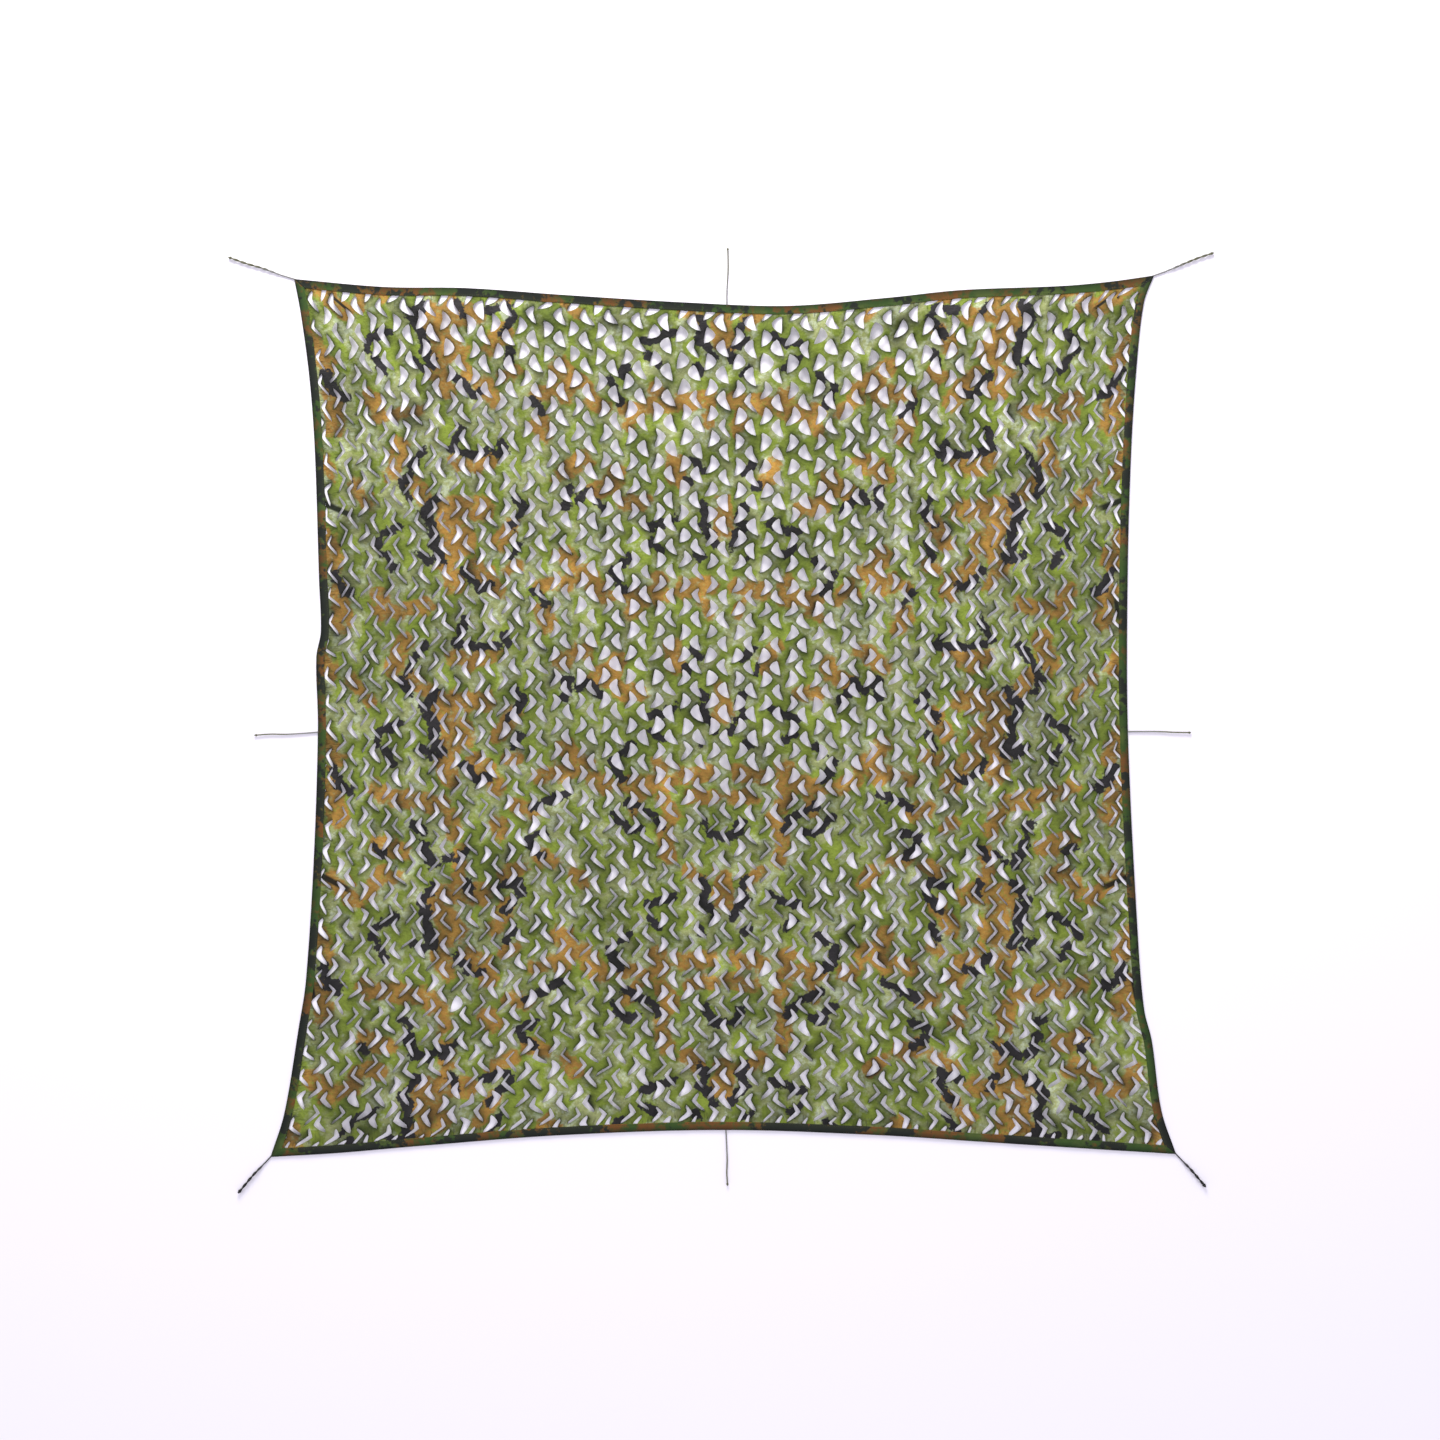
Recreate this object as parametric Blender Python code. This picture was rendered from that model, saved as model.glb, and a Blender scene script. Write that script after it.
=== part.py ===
# Leaf-cut camouflage net, laid out flat on the floor, with its edge binding and eight tie cords.
#
# Metres, +Z up. The floor is z = 0, and the origin is under the middle of the bound net.
# The net is one sheet, cut through with staggered boomerang openings. Its edge sits in a folded
# binding of four strips, mitred at the corners. Each tie cord leaves the binding's outer fold
# and ends in a stopper knot. The four corner ties are doubled back on themselves further out.

import math
from collections import namedtuple

import bmesh
import bpy
from mathutils import Vector

# Cloth and binding
CLOTH_THICKNESS = 0.002
LEAF_THICKNESS = 0.0012  # each of the binding's two leaves
FOLD_THICKNESS = 0.0015  # the binding's outer fold
BINDING_WIDTH = 0.028
GAP = 0.0003  # between neighbouring pieces
CLOTH_LIFT = LEAF_THICKNESS + GAP  # the cloth's underside inside the binding
BINDING_HEIGHT = 2 * CLOTH_LIFT + CLOTH_THICKNESS
LIFTED_PAST_BINDING = 0.004  # the cloth stays lifted this far inside the binding's edge
STATIONS = 24  # straight pieces in each side

# Openings, at twice the pitch of the real cuts and twice their size
COLUMNS = 17
ROWS = 16
MARGIN = 0.017  # share of the net's width kept whole along each side
STAGGER = 0.235  # sideways shift of alternate rows, as a share of a cell
SLACK_BESIDE_TIES = 0.6  # how much narrower the openings get towards the left and right ties

# Ties
FLOOR_CLEARANCE = 0.0001
BEND_SPACING = 2.5  # points along a tie, in cord diameters
DOUBLED_FROM = 0.12  # share of a corner tie's length where it starts to be doubled back
DOUBLED_WITHIN = 0.35  # share of its length over which it grows to its full doubled width
KNOT_LENGTH = 1.3  # in knot diameters
KNOT_FACES = 10
KNOT_SMOOTH_ANGLE = 50.0

# The knot's barrel: (place along its length, share of its radius)
KNOT_PROFILE = ((-0.5, 0.62), (-0.3, 0.95), (0.0, 1.0), (0.3, 0.92), (0.5, 0.5))

CORNERS = {
    "bottom_left": Vector((-1.543, -1.502)),
    "bottom_right": Vector((1.543, -1.492)),
    "top_right": Vector((1.468, 1.502)),
    "top_left": Vector((-1.462, 1.490)),
}

# Each side runs counter-clockwise from its start corner to its end corner.
# Its rows are (share of the way along, distance that the edge is drawn in).
Side = namedtuple("Side", "name start end drawn_in")
SIDES = (
    Side(
        "bottom",
        "bottom_left",
        "bottom_right",
        (
            (0.000, 0.000),
            (0.075, 0.013),
            (0.165, 0.036),
            (0.320, 0.071),
            (0.500, 0.087),
            (0.670, 0.068),
            (0.790, 0.043),
            (0.890, 0.022),
            (1.000, 0.000),
        ),
    ),
    Side(
        "right",
        "bottom_right",
        "top_right",
        (
            (0.000, 0.000),
            (0.050, 0.046),
            (0.130, 0.073),
            (0.165, 0.096),
            (0.245, 0.111),
            (0.480, 0.128),
            (0.655, 0.116),
            (0.800, 0.093),
            (0.900, 0.066),
            (0.970, 0.036),
            (1.000, 0.000),
        ),
    ),
    Side(
        "top",
        "top_right",
        "top_left",
        (
            (0.000, 0.000),
            (0.050, 0.020),
            (0.105, 0.034),
            (0.225, 0.047),
            (0.310, 0.072),
            (0.425, 0.098),
            (0.540, 0.086),
            (0.690, 0.057),
            (0.800, 0.033),
            (0.895, 0.028),
            (1.000, 0.000),
        ),
    ),
    Side(
        "left",
        "top_left",
        "bottom_left",
        (
            (0.000, 0.000),
            (0.040, 0.026),
            (0.115, 0.062),
            (0.195, 0.086),
            (0.340, 0.112),
            (0.400, 0.123),
            (0.430, 0.110),
            (0.510, 0.122),
            (0.660, 0.120),
            (0.800, 0.104),
            (0.850, 0.085),
            (0.950, 0.043),
            (1.000, 0.000),
        ),
    ),
)

# The opening whose vertex points left, as (across, up) shares of a cell about its middle.
# The last point, on the tongue's side, moves between its slack and its stretched place.
OPENING_OUTER = ((0.04, 0.35), (-0.12, 0.20), (-0.23, 0.02), (-0.03, -0.18), (0.24, -0.34))
TONGUE_SLACK = (-0.07, 0.04)
TONGUE_STRETCHED = (0.15, 0.03)

# Each tie leaves the binding at a share of a side, heading in degrees from +X.
# It is doubled over its far stretch where far_diameter is the larger.
# Its bends are (distance out, drift to the left), and the last one is the knot's middle.
Tie = namedtuple("Tie", "place side share heading diameter far_diameter knot_diameter bends")
TIES = (
    Tie(
        "top_left",
        "left",
        0.0,
        161.8,
        0.0045,
        0.0080,
        0.0100,
        ((0.050, 0.0010), (0.110, -0.0010), (0.170, 0.0010), (0.229, 0.0)),
    ),
    Tie(
        "top",
        "top",
        0.497,
        89.0,
        0.0045,
        0.0045,
        0.0080,
        ((0.050, 0.0005), (0.110, -0.0020), (0.150, -0.0015), (0.188, 0.0)),
    ),
    Tie(
        "top_right",
        "top",
        0.0,
        20.8,
        0.0045,
        0.0080,
        0.0100,
        ((0.050, -0.0010), (0.110, 0.0010), (0.160, 0.0020), (0.210, 0.0)),
    ),
    Tie(
        "right",
        "right",
        0.482,
        -1.0,
        0.0045,
        0.0045,
        0.0080,
        ((0.050, 0.0010), (0.110, 0.0015), (0.160, 0.0), (0.209, 0.0)),
    ),
    Tie(
        "bottom_right",
        "right",
        0.0,
        -47.9,
        0.0045,
        0.0090,
        0.0120,
        ((0.040, 0.0010), (0.075, 0.0020), (0.110, 0.0010), (0.142, 0.0)),
    ),
    Tie(
        "bottom",
        "bottom",
        0.503,
        -88.4,
        0.0045,
        0.0045,
        0.0080,
        ((0.050, 0.0010), (0.100, 0.0015), (0.145, -0.0010), (0.184, 0.0)),
    ),
    Tie(
        "bottom_left",
        "bottom",
        0.0,
        -131.9,
        0.0045,
        0.0090,
        0.0120,
        ((0.040, -0.0010), (0.080, -0.0025), (0.120, -0.0015), (0.156, 0.0)),
    ),
    Tie(
        "left",
        "left",
        0.515,
        182.8,
        0.0045,
        0.0045,
        0.0080,
        ((0.050, 0.0015), (0.110, 0.0020), (0.160, -0.0010), (0.210, 0.0)),
    ),
)

# Colour, roughness
MATERIALS = {
    "net_cloth": ((0.27, 0.33, 0.13), 0.80),
    "binding": ((0.05, 0.075, 0.03), 0.85),
    "tie_cord_khaki": ((0.24, 0.24, 0.19), 0.75),
    "tie_cord_black": ((0.02, 0.02, 0.018), 0.70),
}


def clear_scene():
    for obj in list(bpy.data.objects):
        bpy.data.objects.remove(obj, do_unlink=True)


def make_materials():
    made = {}
    for name, (colour, roughness) in MATERIALS.items():
        material = bpy.data.materials.new(name)
        material.use_nodes = True
        shader = material.node_tree.nodes["Principled BSDF"]
        shader.inputs["Base Color"].default_value = (*colour, 1.0)
        shader.inputs["Roughness"].default_value = roughness
        shader.inputs["Metallic"].default_value = 0.0
        made[name] = material
    return made


def through(rows, x):
    """Height at x of a smooth curve through (x, height) rows."""
    last = len(rows) - 1
    i = min(max(j for j in range(last) if rows[j][0] <= x), last - 1)
    (x0, y0), (x1, y1) = rows[i], rows[i + 1]
    before, after = rows[max(i - 1, 0)], rows[min(i + 2, last)]
    slope0 = (y1 - before[1]) / (x1 - before[0])
    slope1 = (after[1] - y0) / (after[0] - x0)
    step = x1 - x0
    t = (x - x0) / step
    return (
        (2 * t**3 - 3 * t**2 + 1) * y0
        + (t**3 - 2 * t**2 + t) * step * slope0
        + (3 * t**2 - 2 * t**3) * y1
        + (t**3 - t**2) * step * slope1
    )


def side_point(side, share):
    """The net's outer edge, at this share of the way along a side."""
    start, end = CORNERS[side.start], CORNERS[side.end]
    along = end - start
    inward = Vector((-along.y, along.x)).normalized()
    return start + along * share + inward * through(side.drawn_in, share)


def outline():
    """The outer edge as one counter-clockwise loop. Each side starts at a multiple of STATIONS."""
    return [side_point(side, i / STATIONS) for side in SIDES for i in range(STATIONS)]


def mitres(loop):
    """For each point of the loop, the step inwards that takes both edges there in by 1 m."""
    steps = []
    for i, point in enumerate(loop):
        arriving = (point - loop[i - 1]).normalized()
        leaving = (loop[(i + 1) % len(loop)] - point).normalized()
        normals = [Vector((-way.y, way.x)) for way in (arriving, leaving)]
        steps.append((normals[0] + normals[1]) / (1 + normals[0].dot(normals[1])))
    return steps


def edge_point(loop, side_name, share):
    """A point on the loop's own straight pieces."""
    first = [side.name for side in SIDES].index(side_name) * STATIONS
    place = first + share * STATIONS
    i = int(place)
    return loop[i].lerp(loop[(i + 1) % len(loop)], place - i)


def net_point(u, v):
    """A point of the stretched net: u runs left to right and v bottom to top, from 0 to 1."""
    bottom, right, top, left = SIDES
    across = side_point(bottom, u) * (1 - v) + side_point(top, 1 - u) * v
    upward = side_point(left, 1 - v) * (1 - u) + side_point(right, v) * u
    corners = (
        CORNERS["bottom_left"] * (1 - u) * (1 - v)
        + CORNERS["bottom_right"] * u * (1 - v)
        + CORNERS["top_right"] * u * v
        + CORNERS["top_left"] * (1 - u) * v
    )
    return across + upward - corners


def opening(column, row):
    """One opening's outline. Rows alternate between a vertex that points left and one that points right."""
    facing = 1 if row % 2 == 0 else -1
    middle_u = (column + 0.5 + facing * STAGGER) / COLUMNS
    middle_v = (row + 0.5) / ROWS
    beside_ties = (2 * middle_u - 1) ** 2 * (1 - (2 * middle_v - 1) ** 2)
    stretch = 1 - SLACK_BESIDE_TIES * beside_ties
    tongue = Vector(TONGUE_SLACK).lerp(Vector(TONGUE_STRETCHED), stretch)
    points = []
    for across, up in (*OPENING_OUTER, tuple(tongue)):
        u = middle_u + facing * across / COLUMNS
        v = middle_v + up / ROWS
        kept = 1 - 2 * MARGIN
        points.append(net_point(MARGIN + kept * u, MARGIN + kept * v))
    return points


def new_object(name, data, material):
    obj = bpy.data.objects.new(name, data)
    bpy.context.scene.collection.objects.link(obj)
    data.materials.append(material)
    return obj


def closed_ring(mesh_builder, points, z):
    """Vertices at the points, in a closed ring of edges."""
    ring = [mesh_builder.verts.new((*point, z)) for point in points]
    edges = [mesh_builder.edges.new((ring[i - 1], ring[i])) for i in range(len(ring))]
    return ring, edges


def make_cloth(loop, steps, material):
    """The sheet: a cut field, and round it a band inside the binding. It is thickened upwards."""
    edge_inset = FOLD_THICKNESS + GAP
    field_inset = BINDING_WIDTH + LIFTED_PAST_BINDING
    mesh_builder = bmesh.new()
    field, limits = closed_ring(
        mesh_builder, [point + step * field_inset for point, step in zip(loop, steps)], 0.0
    )
    for row in range(ROWS):
        for column in range(COLUMNS):
            limits += closed_ring(mesh_builder, opening(column, row), 0.0)[1]
    bmesh.ops.triangle_fill(
        mesh_builder, edges=limits, normal=(0.0, 0.0, 1.0), use_beauty=True, use_dissolve=False
    )
    for vertex in field:
        vertex.co.z = CLOTH_LIFT
    edge, _ = closed_ring(
        mesh_builder, [point + step * edge_inset for point, step in zip(loop, steps)], CLOTH_LIFT
    )
    for i in range(len(edge)):
        mesh_builder.faces.new((edge[i - 1], edge[i], field[i], field[i - 1]))
    mesh = bpy.data.meshes.new("net_cloth")
    mesh_builder.to_mesh(mesh)
    mesh_builder.free()
    cloth = new_object("net_cloth", mesh, material)
    thicken = cloth.modifiers.new("thickness", "SOLIDIFY")
    thicken.thickness = CLOTH_THICKNESS
    thicken.offset = 1.0
    return cloth


def make_binding(side_index, loop, steps, material):
    """One strip, folded over the cloth's edge, with mitred ends."""
    section = (
        (0.0, 0.0),
        (BINDING_WIDTH, 0.0),
        (BINDING_WIDTH, LEAF_THICKNESS),
        (FOLD_THICKNESS, LEAF_THICKNESS),
        (FOLD_THICKNESS, BINDING_HEIGHT - LEAF_THICKNESS),
        (BINDING_WIDTH, BINDING_HEIGHT - LEAF_THICKNESS),
        (BINDING_WIDTH, BINDING_HEIGHT),
        (0.0, BINDING_HEIGHT),
    )
    first = side_index * STATIONS
    mesh_builder = bmesh.new()
    rings = []
    for i in range(STATIONS + 1):
        at = (first + i) % len(loop)
        point, step = loop[at], steps[at]
        if i in (0, STATIONS):
            along = Vector((step.y, -step.x)).normalized()
            point = point + along * (GAP if i == 0 else -GAP)
        rings.append(
            [mesh_builder.verts.new((*(point + step * inset), z)) for inset, z in section]
        )
    for ring, following in zip(rings, rings[1:]):
        for j in range(len(section)):
            k = (j + 1) % len(section)
            mesh_builder.faces.new((ring[j], ring[k], following[k], following[j]))
    mesh_builder.faces.new(rings[0])
    mesh_builder.faces.new(reversed(rings[-1]))
    bmesh.ops.recalc_face_normals(mesh_builder, faces=mesh_builder.faces)
    name = "binding_" + SIDES[side_index].name
    mesh = bpy.data.meshes.new(name)
    mesh_builder.to_mesh(mesh)
    mesh_builder.free()
    return new_object(name, mesh, material)


def doubling(share):
    """How far a corner tie has grown from one strand to two, at this share of its length."""
    t = min(max((share - DOUBLED_FROM) / DOUBLED_WITHIN, 0.0), 1.0)
    return t * t * (3 - 2 * t)


def make_tie(tie, anchor, material):
    """The cord, from just outside the binding to just short of its knot. Its own +X is its heading."""
    knot_middle = tie.bends[-1][0]
    end = knot_middle - KNOT_LENGTH * tie.knot_diameter / 2 - GAP
    rows = ((0.0, 0.0), *tie.bends)
    count = math.ceil(end / (BEND_SPACING * tie.diameter)) + 1
    curve = bpy.data.curves.new("tie_" + tie.place, "CURVE")
    curve.dimensions = "3D"
    curve.bevel_depth = tie.diameter / 2
    curve.bevel_resolution = 2
    curve.use_fill_caps = True
    spline = curve.splines.new("POLY")
    spline.points.add(count - 1)
    for i, point in enumerate(spline.points):
        share = i / (count - 1)
        out = GAP + (end - GAP) * share
        diameter = tie.diameter + (tie.far_diameter - tie.diameter) * doubling(share)
        rise = (tie.knot_diameter - tie.far_diameter) / 2 * share
        point.co = (out, through(rows, out), diameter / 2 + rise + FLOOR_CLEARANCE, 1.0)
        point.radius = diameter / tie.diameter
    cord = new_object("tie_" + tie.place, curve, material)
    cord.location = (*anchor, 0.0)
    cord.rotation_euler.z = math.radians(tie.heading)
    return cord


def make_knot(tie, cord, material):
    """The stopper knot, as a barrel with flat ends turned about the cord."""
    radius = tie.knot_diameter / 2
    length = KNOT_LENGTH * tie.knot_diameter
    mesh_builder = bmesh.new()
    rings = []
    for along, swell in KNOT_PROFILE:
        ring = []
        for i in range(KNOT_FACES):
            angle = 2 * math.pi * i / KNOT_FACES
            place = (length * along, radius * swell * math.cos(angle), radius * swell * math.sin(angle))
            ring.append(mesh_builder.verts.new(place))
        rings.append(ring)
    for ring, following in zip(rings, rings[1:]):
        for i in range(KNOT_FACES):
            k = (i + 1) % KNOT_FACES
            mesh_builder.faces.new((ring[i], ring[k], following[k], following[i]))
    mesh_builder.faces.new(rings[0])
    mesh_builder.faces.new(reversed(rings[-1]))
    bmesh.ops.recalc_face_normals(mesh_builder, faces=mesh_builder.faces)
    name = "knot_" + tie.place
    mesh = bpy.data.meshes.new(name)
    mesh_builder.to_mesh(mesh)
    mesh_builder.free()
    mesh.shade_smooth()
    mesh.set_sharp_from_angle(angle=math.radians(KNOT_SMOOTH_ANGLE))
    knot = new_object(name, mesh, material)
    knot.parent = cord
    knot.location = (tie.bends[-1][0], 0.0, radius + FLOOR_CLEARANCE)
    return knot


def build():
    clear_scene()
    materials = make_materials()
    loop = outline()
    steps = mitres(loop)
    make_cloth(loop, steps, materials["net_cloth"])
    for side_index in range(len(SIDES)):
        make_binding(side_index, loop, steps, materials["binding"])
    for tie in TIES:
        dark = tie.place in ("bottom_left", "bottom_right")
        material = materials["tie_cord_black" if dark else "tie_cord_khaki"]
        cord = make_tie(tie, edge_point(loop, tie.side, tie.share), material)
        make_knot(tie, cord, material)


build()
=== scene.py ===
# Leaf-cut camouflage net, laid flat: cut and printed cloth, folded binding, stitches and eight tie cords.
# Metres, +Z up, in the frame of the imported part.

import math
from collections import namedtuple

import bmesh
import bpy
import numpy as np
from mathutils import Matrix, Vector
from mathutils.geometry import delaunay_2d_cdt


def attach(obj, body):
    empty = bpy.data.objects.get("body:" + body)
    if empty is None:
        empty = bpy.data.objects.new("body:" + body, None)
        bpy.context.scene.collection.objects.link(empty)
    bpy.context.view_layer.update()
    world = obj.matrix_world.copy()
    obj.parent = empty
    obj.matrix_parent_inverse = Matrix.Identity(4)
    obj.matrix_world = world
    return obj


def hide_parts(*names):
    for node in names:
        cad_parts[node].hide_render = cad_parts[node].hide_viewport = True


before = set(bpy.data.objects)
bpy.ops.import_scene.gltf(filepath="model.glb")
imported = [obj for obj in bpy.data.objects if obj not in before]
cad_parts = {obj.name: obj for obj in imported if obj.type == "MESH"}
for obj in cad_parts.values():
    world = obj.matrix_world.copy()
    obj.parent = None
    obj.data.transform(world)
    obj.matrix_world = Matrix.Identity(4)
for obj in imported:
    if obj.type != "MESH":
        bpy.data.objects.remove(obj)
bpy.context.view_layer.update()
scene = bpy.context.scene
print("frame loaded:", len(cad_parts), "nodes")


# shared helpers
def newObject(name, data):
    obj = bpy.data.objects.new(name, data)
    scene.collection.objects.link(obj)
    return obj


def meshObject(name, points, faces, material):
    mesh = bpy.data.meshes.new(name)
    mesh.from_pydata([tuple(p) for p in points], [], [tuple(f) for f in faces])
    mesh.validate()
    mesh.polygons.foreach_set("use_smooth", [True] * len(mesh.polygons))
    mesh.materials.append(material)
    return newObject(name, mesh)


def pointAttribute(mesh, name, values):
    layer = mesh.attributes.new(name, "FLOAT", "POINT")
    layer.data.foreach_set("value", np.asarray(values, np.float32))


def directions(line):
    # unit steps along a line of points
    steps = np.gradient(line, axis=0)
    return steps / np.linalg.norm(steps, axis=1)[:, None]


def runAlong(line):
    # distance along a line of points, at each of them
    return np.concatenate([[0.0], np.cumsum(np.linalg.norm(np.diff(line, axis=0), axis=1))])


def tubeFaces(count, around):
    # the sides of a tube whose points come ring by ring
    faces = []
    for i in range(count - 1):
        a, b = i * around, (i + 1) * around
        for j in range(around):
            k = (j + 1) % around
            faces.append((a + j, a + k, b + k, b + j))
    return faces


def smoothStep(low, high, x):
    t = np.clip((np.asarray(x, float) - low) / (high - low), 0.0, 1.0)
    return t * t * (3 - 2 * t)


# camera
cameraView = {
    "centre": (-0.0111, -0.0128),  # the point of the floor under the camera
    "width": 4.909,  # metres of floor across the view
    "lens": 50.0,
    "sensor": 36.0,
}


def makeCamera():
    data = bpy.data.cameras.new("camera")
    data.lens = cameraView["lens"]
    data.sensor_width = cameraView["sensor"]
    camera = newObject("camera", data)
    height = cameraView["width"] * cameraView["lens"] / cameraView["sensor"]
    camera.location = (*cameraView["centre"], height)
    scene.camera = camera


makeCamera()


# the net's outline, as the solids have it
corners = {
    "bottomLeft": (-1.543, -1.502),
    "bottomRight": (1.543, -1.492),
    "topRight": (1.468, 1.502),
    "topLeft": (-1.462, 1.490),
}

# Each side runs counter-clockwise. Its rows are (share of the way along, distance drawn in).
sides = {
    "bottom": ("bottomLeft", "bottomRight", (
        (0.000, 0.000), (0.075, 0.013), (0.165, 0.036), (0.320, 0.071), (0.500, 0.087),
        (0.670, 0.068), (0.790, 0.043), (0.890, 0.022), (1.000, 0.000))),
    "right": ("bottomRight", "topRight", (
        (0.000, 0.000), (0.050, 0.046), (0.130, 0.073), (0.165, 0.096), (0.245, 0.111),
        (0.480, 0.128), (0.655, 0.116), (0.800, 0.093), (0.900, 0.066), (0.970, 0.036),
        (1.000, 0.000))),
    "top": ("topRight", "topLeft", (
        (0.000, 0.000), (0.050, 0.020), (0.105, 0.034), (0.225, 0.047), (0.310, 0.072),
        (0.425, 0.098), (0.540, 0.086), (0.690, 0.057), (0.800, 0.033), (0.895, 0.028),
        (1.000, 0.000))),
    "left": ("topLeft", "bottomLeft", (
        (0.000, 0.000), (0.040, 0.026), (0.115, 0.062), (0.195, 0.086), (0.340, 0.112),
        (0.400, 0.123), (0.430, 0.110), (0.510, 0.122), (0.660, 0.120), (0.800, 0.104),
        (0.850, 0.085), (0.950, 0.043), (1.000, 0.000))),
}


def through(rows, x):
    # heights at x of a smooth curve through (x, height) rows
    rows = np.asarray(rows, float)
    last = len(rows) - 1
    x = np.asarray(x, float)
    i = np.clip(np.searchsorted(rows[:, 0], x, side="right") - 1, 0, last - 1)
    before, after = rows[np.maximum(i - 1, 0)], rows[np.minimum(i + 2, last)]
    start, end = rows[i], rows[i + 1]
    slope0 = (end[..., 1] - before[..., 1]) / (end[..., 0] - before[..., 0])
    slope1 = (after[..., 1] - start[..., 1]) / (after[..., 0] - start[..., 0])
    step = end[..., 0] - start[..., 0]
    t = (x - start[..., 0]) / step
    return (
        (2 * t**3 - 3 * t**2 + 1) * start[..., 1]
        + (t**3 - 2 * t**2 + t) * step * slope0
        + (3 * t**2 - 2 * t**3) * end[..., 1]
        + (t**3 - t**2) * step * slope1
    )


def sidePoints(name, share):
    start, end, drawnIn = sides[name]
    start, end = np.array(corners[start]), np.array(corners[end])
    along = end - start
    inward = np.array((-along[1], along[0])) / np.hypot(*along)
    share = np.asarray(share, float)
    return start + share[..., None] * along + through(drawnIn, share)[..., None] * inward


def netPoints(u, v):
    # points of the stretched net: u runs left to right and v bottom to top, from 0 to 1
    u, v = np.asarray(u, float), np.asarray(v, float)
    uu, vv = u[..., None], v[..., None]
    across = sidePoints("bottom", u) * (1 - vv) + sidePoints("top", 1 - u) * vv
    upward = sidePoints("left", 1 - v) * (1 - uu) + sidePoints("right", v) * uu
    flatCorners = (
        np.array(corners["bottomLeft"]) * (1 - uu) * (1 - vv)
        + np.array(corners["bottomRight"]) * uu * (1 - vv)
        + np.array(corners["topRight"]) * uu * vv
        + np.array(corners["topLeft"]) * (1 - uu) * vv
    )
    return across + upward - flatCorners


def smoothNoise(points, seed, size, repeat=97, columns=97, shift=40.0):
    # value noise from 0 to 1 on 2-D points, from a seeded table of columns by repeat cells. It repeats
    # in Y after the repeat, and the shift keeps every cell above 0.
    table = np.random.RandomState(seed).rand(columns, repeat)
    scaled = np.asarray(points, float) / size + shift
    cell = np.floor(scaled).astype(int)
    t = scaled - cell
    t = t * t * (3 - 2 * t)
    x, y = cell[..., 0] % columns, cell[..., 1] % repeat
    x1, y1 = (x + 1) % columns, (y + 1) % repeat
    low = table[x, y] * (1 - t[..., 0]) + table[x1, y] * t[..., 0]
    high = table[x, y1] * (1 - t[..., 0]) + table[x1, y1] * t[..., 0]
    return low * (1 - t[..., 1]) + high * t[..., 1]


# tie cords
tieLook = {
    "floorGap": 0.0001,
    "lowest": 0.00005,  # no point of a cord or knot lies lower
    "stations": 24,  # steps along a side, between which a tie's place is found
    "strands": 3,
    "twistPitch": 0.011,  # metres for one turn of a strand
    "grooveDepth": 0.16,  # share of the radius
    "grooveShape": 0.7,  # below 1 the strands are fuller and the grooves narrower
    "around": 18,
    "ringStep": 0.0009,
    "rootInside": 0.006,  # how far the cord reaches into the binding's fold
    "shortOfKnot": 0.3,  # where it stops before the knot's middle, in knots
    "endRings": 2.0,  # rings that round off a single cord's ends
    "blunt": (0.6, 0.05),  # rings that a rounded end is cut short by, and its least share of the area
    "doubledFrom": 0.12,  # share of a corner tie's length where its own end is tied back on
    "doubledWithin": 0.35,
    "backEndFrom": 0.10,  # share of the length past there where that end is seen
    "backEndRings": 5.0,
    "pairPitch": 0.052,  # metres for one turn of the two strands round each other
    "exitHeight": 0.0024,
    "singleDiameter": 0.0045,
    "doubledDiameter": 0.0060,
    "pathEvery": 6,  # rings from one point of the cord's path to the next
}

# an overhand knot pulled tight. Lengths are in knots, and the winding's in its own radius.
knotLook = {
    "strand": 0.20,
    "rounds": 2,  # times round the middle
    "crossings": 3,  # times over and under on the way
    "ring": 0.72,
    "swing": 0.28,
    "stretch": 1.25,  # how much longer it is along the cord
    "height": 0.42,
    "windingPoints": 120,
    "around": 14,
    "grooveDepth": 0.14,
    "twistPitch": 0.009,
    "core": (-0.62, 0.75),  # the cord through the middle, from and to
    "corePoints": 40,
    "coreRadius": 1.15,  # in strands
    "coreDrop": 0.6,  # share of the way down to the floor that its free end hangs
    "coreRest": 1.1,
    "coreRings": 3.0,
}

tieRow = namedtuple("tieRow", "side share heading near far knot colour bends")

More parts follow.
